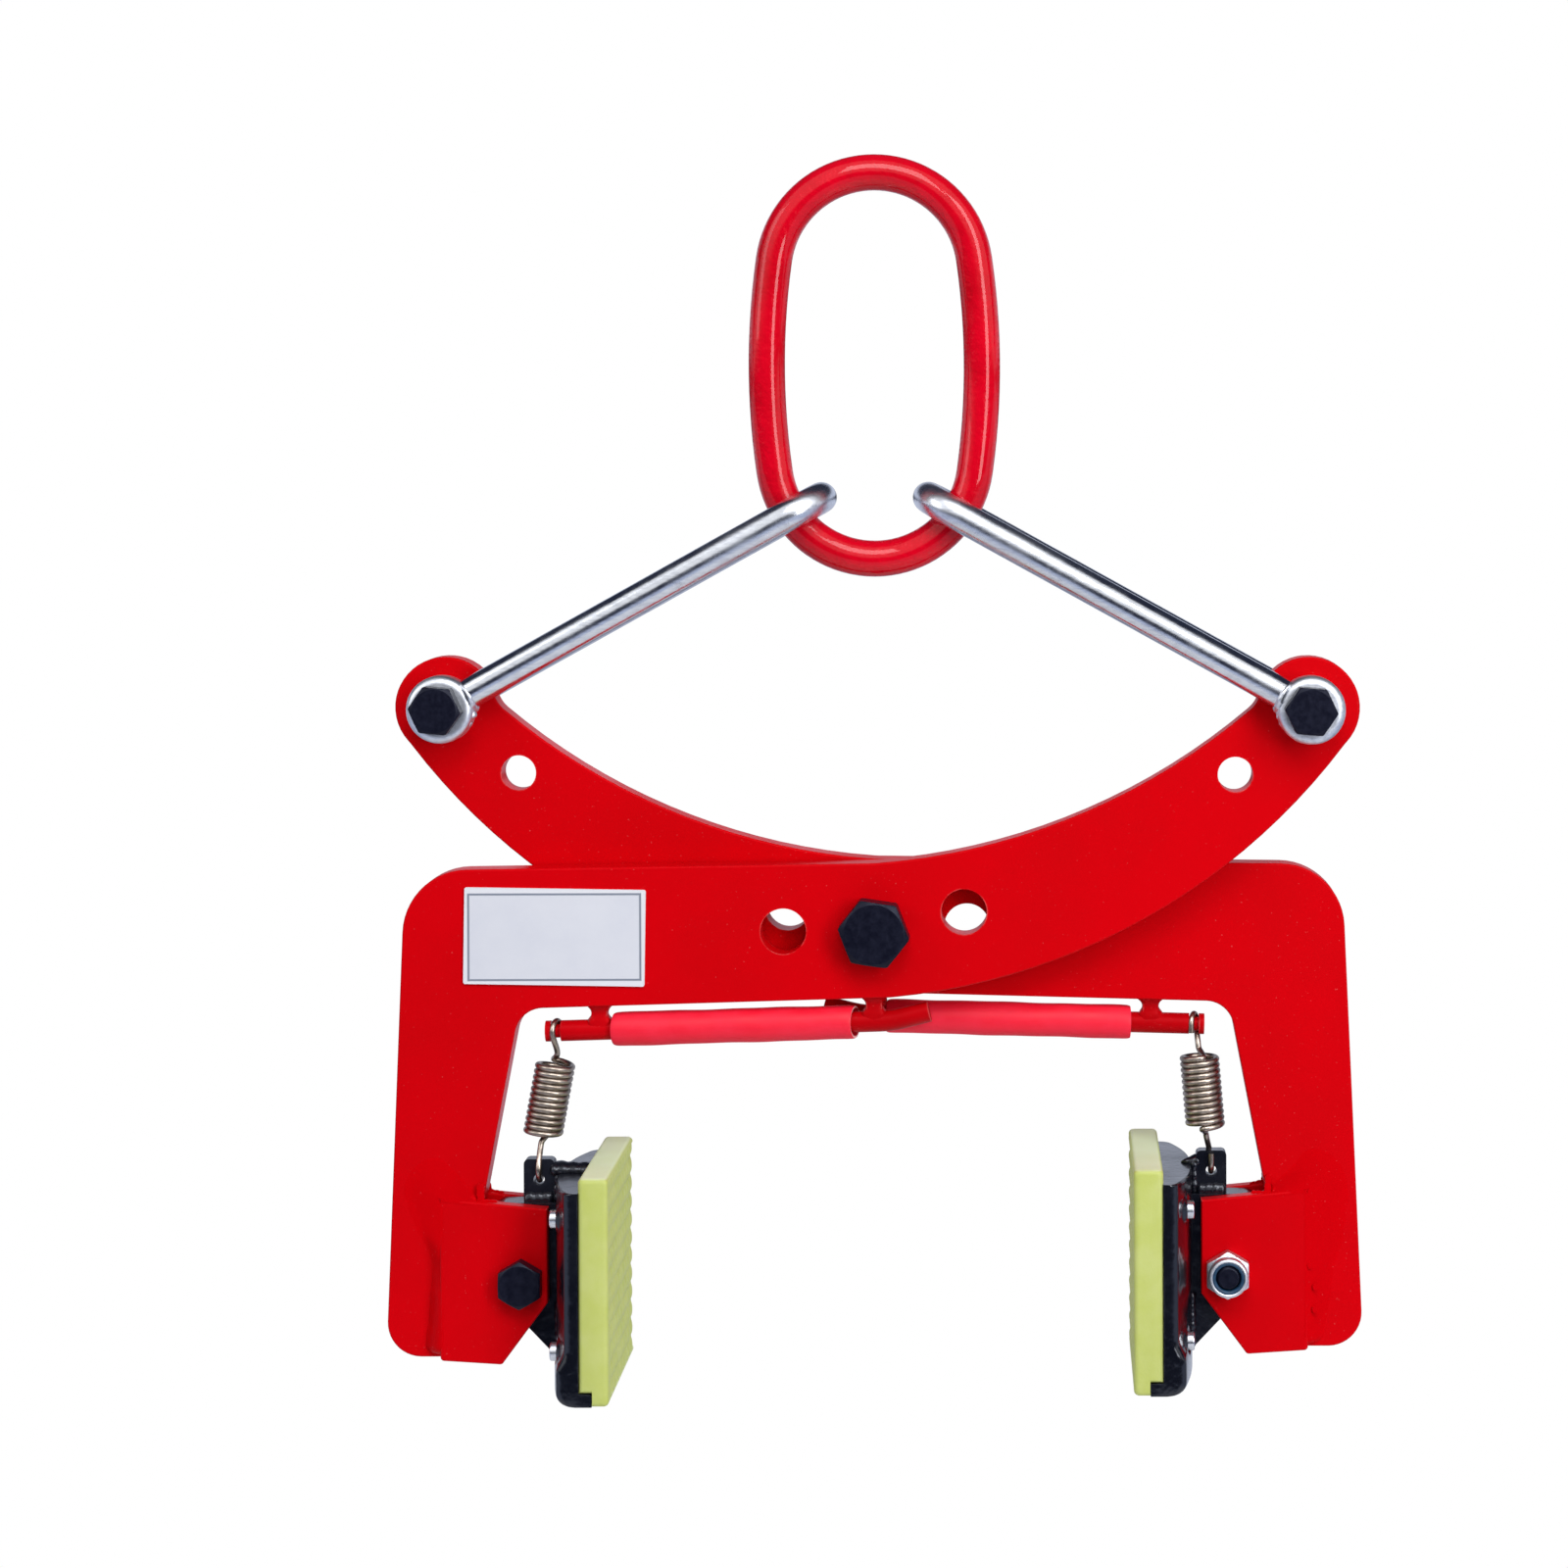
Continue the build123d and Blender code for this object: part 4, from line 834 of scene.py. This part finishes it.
def extension_spring(neck, eyelet, coil_low, coil_top):
    """Extension spring as a round wire carried along hook, shank, coil, shank and hook.

    The coil is a helix about the line from coil_low to coil_top that begins and ends at the rear. Hooks are half
    circles, the upper one over the neck, turned aside by the lean, and the lower one through the eyelet, with their
    tails behind. From the front of each hook a shank runs to the coil's line and crosses from there to the rear of
    the coil's end, both on cubics that keep their end directions. The wire's ring of points starts at its flank: the
    coil's own direction on the helix, the side direction on the hooks, and on a crossing the wire's way turned by
    a right angle between these two.
    """
    coil, turns, wire, stand_off = 0.0066, 12, 0.00225, 0.0036
    top_hook, low_hook, lean, tail = 0.0038, 0.0046, -0.3, 0.0030
    hook_pull, shank_pull, coil_pull = 0.008, 0.006, 0.0100
    span, up = np.linalg.norm(coil_top - coil_low), unit(coil_top - coil_low)
    rise, front = np.array([0.0, 0.0, 1.0]), np.array([0.0, -1.0, 0.0])
    aside = np.cross(up, front)
    bend = np.linspace(0, np.pi, 22)
    hook_low = eyelet + low_hook * (rise + spoke(bend, -front, -rise))
    hook_top = neck + top_hook * spoke(bend, np.array([np.sin(lean), -np.cos(lean), 0.0]), rise)
    out = spoke(np.linspace(np.pi, np.pi + 2 * np.pi * turns, turns * 28 + 1), front, aside)
    helix = coil_low + np.linspace(0, span, len(out))[:, None] * up + coil * out
    foot, head = coil_low - stand_off * up, coil_top + stand_off * up
    low_shank = cubic(hook_low[-1], rise * hook_pull, foot, up * shank_pull)
    enter = cubic(foot, up * shank_pull, helix[0], np.cross(up, out[0]) * coil_pull)
    leave = cubic(helix[-1], np.cross(up, out[-1]) * coil_pull, head, up * shank_pull)
    top_shank = cubic(head, up * shank_pull, hook_top[0], rise * hook_pull)
    line = np.concatenate([hook_low[:1] + rise * tail, hook_low, low_shank, foot[None], enter, helix, leave, head[None],
                           top_shank, hook_top, hook_top[-1:] - rise * tail])
    way = unit(np.gradient(line, axis=0))
    crossing = aside * (way @ up)[:, None] - up * (way @ aside)[:, None]
    hook_rows = len(bend) + 2
    low_rows, high_rows = hook_rows + len(low_shank), len(line) - hook_rows - len(top_shank)
    row = np.arange(len(line))[:, None]
    on_helix = (row >= low_rows + len(enter)) & (row < high_rows - len(leave))
    flank = np.where(on_helix, up, np.where((row >= low_rows) & (row < high_rows), crossing, aside))
    flank = unit(flank - np.sum(flank * way, axis=1)[:, None] * way)
    other = np.cross(way, flank)
    size = np.concatenate([[0.0], np.full(len(line), wire / 2), [0.0]])
    line, flank, other = (np.concatenate([rows[:1], rows, rows[-1:]]) for rows in (line, flank, other))
    ring = spoke(full_turn(14), flank[:, None], other[:, None])
    return line[:, None] + size[:, None, None] * ring, False, True


spring_top = on_bar(-0.1228)
spring_low = np.array([jaw_x + 0.0057, arm_middle, jaw_z + 0.0368])
coil_aside = {"left": (-0.0054, -0.0004), "right": (-0.0044, -0.0021)}
for side, arm in leg_arm.items():
    low_aside, top_aside = coil_aside[side]
    spring = extension_spring(spring_top, spring_low, spring_top + np.array([low_aside, 0, -0.0396]),
                              spring_top + np.array([top_aside, 0, -0.0125]))
    piece = surface(f"{side}_extension_spring", [spring], spring_wire, 50, side)
    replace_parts(piece, f"{side}_spring")
    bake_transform(piece)


# Rating plate: thin pressed plate stuck on the front arm, white with one fine grey line inside its rim.
# It is blank.

plate_white, plate_cool, plate_line = (0.76, 0.775, 0.84), (0.64, 0.66, 0.75), (0.22, 0.25, 0.32)
plate_half_x, plate_half_z, line_inset = 0.035, 0.0185, 0.0021
plate_paint, wires = start_material("plate_print", plate_white, 0.34)
where = wires.place()
centred = wires.add("Mapping", Vector=where, Location=(0.1225, 0.0, -PIVOT_Z + 0.0018)).outputs["Vector"]
from_middle = wires.parts(centred)
inset = wires.sums("MINIMUM", wires.sums("SUBTRACT", plate_half_x, wires.sums("ABSOLUTE", from_middle["X"])),
                   wires.sums("SUBTRACT", plate_half_z, wires.sums("ABSOLUTE", from_middle["Z"])))
line_mask = wires.window(wires.sums("ABSOLUTE", wires.sums("SUBTRACT", inset, line_inset)), 0.0006, 0.0002)
haze = wires.noise(where, 45.0, 5.0, 0.6)
cool = wires.sums("MULTIPLY", wires.window(inset, line_inset, line_inset + 0.0006),
                  wires.window(haze, 0.2, 0.8, 0.45, 1.0))
wires.coat((cool, plate_cool), (line_mask, plate_line))
wires.finish(Roughness=wires.window(haze, 0.25, 0.75, 0.28, 0.42))
wires.emboss(line_mask, 0.0001)
dress(plate_paint, "rating_plate")


# Studio: pale floor below the hanging clamp that fades into a white surround. Metal reflects a tent with a bright
# panel overhead and dark gaps before and behind it, and four soft lamps light the clamp.

floor_z = cad_box[0][2] - 0.25
floor_mesh = bpy.data.meshes.new("studio_floor")
floor_corners = [(x, y, floor_z) for x, y in ((-2, -2), (2, -2), (2, 2), (-2, 2))]
floor_mesh.from_pydata(floor_corners, [], [(0, 1, 2, 3)])
floor_paint, wires = start_material("studio_floor", (0.80, 0.82, 0.86), 0.9)
where = wires.place()
from_middle = wires.sums("DISTANCE", where, (0.0, -0.18, floor_z), "VectorMath")
wires.finish(Roughness=wires.window(wires.noise(where, 3.0), 0.2, 0.8, 0.85, 0.95),
             Alpha=wires.window(from_middle, 0.36, 0.66, 1.0, 0.0))
floor_mesh.materials.append(floor_paint)
floor = in_scene("studio_floor", floor_mesh)

world = bpy.data.worlds.new("studio_surround")
bpy.context.scene.world = world
world.use_nodes = True
wires = Wires(world.node_tree)
rays = wires.add("LightPath").outputs
mirrored = wires.sums("MAXIMUM", rays["Is Glossy Ray"], rays["Is Transmission Ray"])
shown = wires.sums("MAXIMUM", rays["Is Camera Ray"], mirrored)
# Place on the tent's inside: the angle from the front over the top to the back, with the stops given in degrees
tent_way = wires.parts(wires.place("Generated"))
climb = wires.sums("ARCTAN2", tent_way["Z"], wires.sums("MULTIPLY", tent_way["Y"], -1.0))
tent = wires.add("ValToRGB", Fac=wires.sums("ADD", wires.sums("DIVIDE", climb, 2 * np.pi), 0.5))
white, gap, mauve, dusk = (1, 1, 1, 1), (0.020, 0.025, 0.048, 1), (0.52, 0.58, 0.76, 1), (0.26, 0.28, 0.36, 1)
pale = (0.66, 0.71, 0.85, 1)
stops = [(-178, gap), (-175, pale), (-162, pale), (-142, dusk), (-114, dusk), (-98, mauve), (-26, mauve), (-17, gap),
         (2, gap), (10, white), (70, white), (82, gap), (150, gap), (161, pale), (175, pale), (178, gap)]
while len(tent.color_ramp.elements) < len(stops):
    tent.color_ramp.elements.new(0.5)
for element, (degrees, colour) in zip(tent.color_ramp.elements, stops):
    element.position = degrees / 360 + 0.5
    element.color = colour
wires.put(world.node_tree.nodes["Background"], Strength=wires.window(shown, 0.0, 1.0, 0.30, 1.0),
          Color=wires.tint(mirrored, white[:3], tent.outputs["Color"]))


def posed(*columns):
    """Matrix from the directions of an object's X, Y and Z and its place."""
    return Matrix([*np.stack(columns, axis=-1).tolist(), (0, 0, 0, 1)])


def soft_lamp(name, place, aim_z, width, height, power):
    """Rectangular area lamp at a place, turned to aim at a point of the clamp's middle line, its height upright."""
    data = bpy.data.lights.new(name, "AREA")
    data.shape = "RECTANGLE"
    data.size, data.size_y = width, height
    data.energy = power
    back = unit(np.array(place) - np.array([0.0, 0.0, aim_z]))
    right = unit(np.cross([0.0, 0.0, 1.0], back))
    lamp = in_scene(name, data)
    lamp.matrix_world = posed(right, np.cross(back, right), back, place)
    return lamp


soft_lamp("right_lamp", (0.92, -1.14, 0.25), -0.15, 0.50, 1.30, 14)
soft_lamp("left_lamp", (-1.35, -0.78, 0.45), -0.20, 0.60, 0.90, 4)
soft_lamp("top_lamp", (0.10, -1.25, 1.00), -0.25, 0.90, 0.80, 13)
soft_lamp("rear_lamp", (0.10, 1.60, 0.50), -0.25, 0.90, 0.90, 9).visible_glossy = False

# Camera: fitted to the photograph's view, almost square on, a little right of the pivot and above it
pan, tilt, roll = np.radians([-0.28, 0.51, 0.17])
target, distance = np.array([0.0603, 0.0, PIVOT_Z + 0.1787]), 1.330
focal_pixels, picture_pixels, sensor = 3518, 1600, 36.0
x, y, z = np.eye(3)
level, right = spoke(pan, y, x), spoke(pan, x, -y)
ahead, above = spoke(tilt, level, -z), spoke(tilt, z, level)
lens = bpy.data.cameras.new("photo_camera")
lens.sensor_fit = "HORIZONTAL"
lens.sensor_width = sensor
lens.lens = focal_pixels / picture_pixels * sensor
lens.shift_x, lens.shift_y = -0.1575, -0.2044
camera = in_scene("photo_camera", lens)
camera.matrix_world = posed(spoke(roll, right, -above), spoke(roll, above, right), -ahead, target - distance * ahead)
bpy.context.scene.camera = camera
bpy.context.scene.view_settings.view_transform = "Standard"
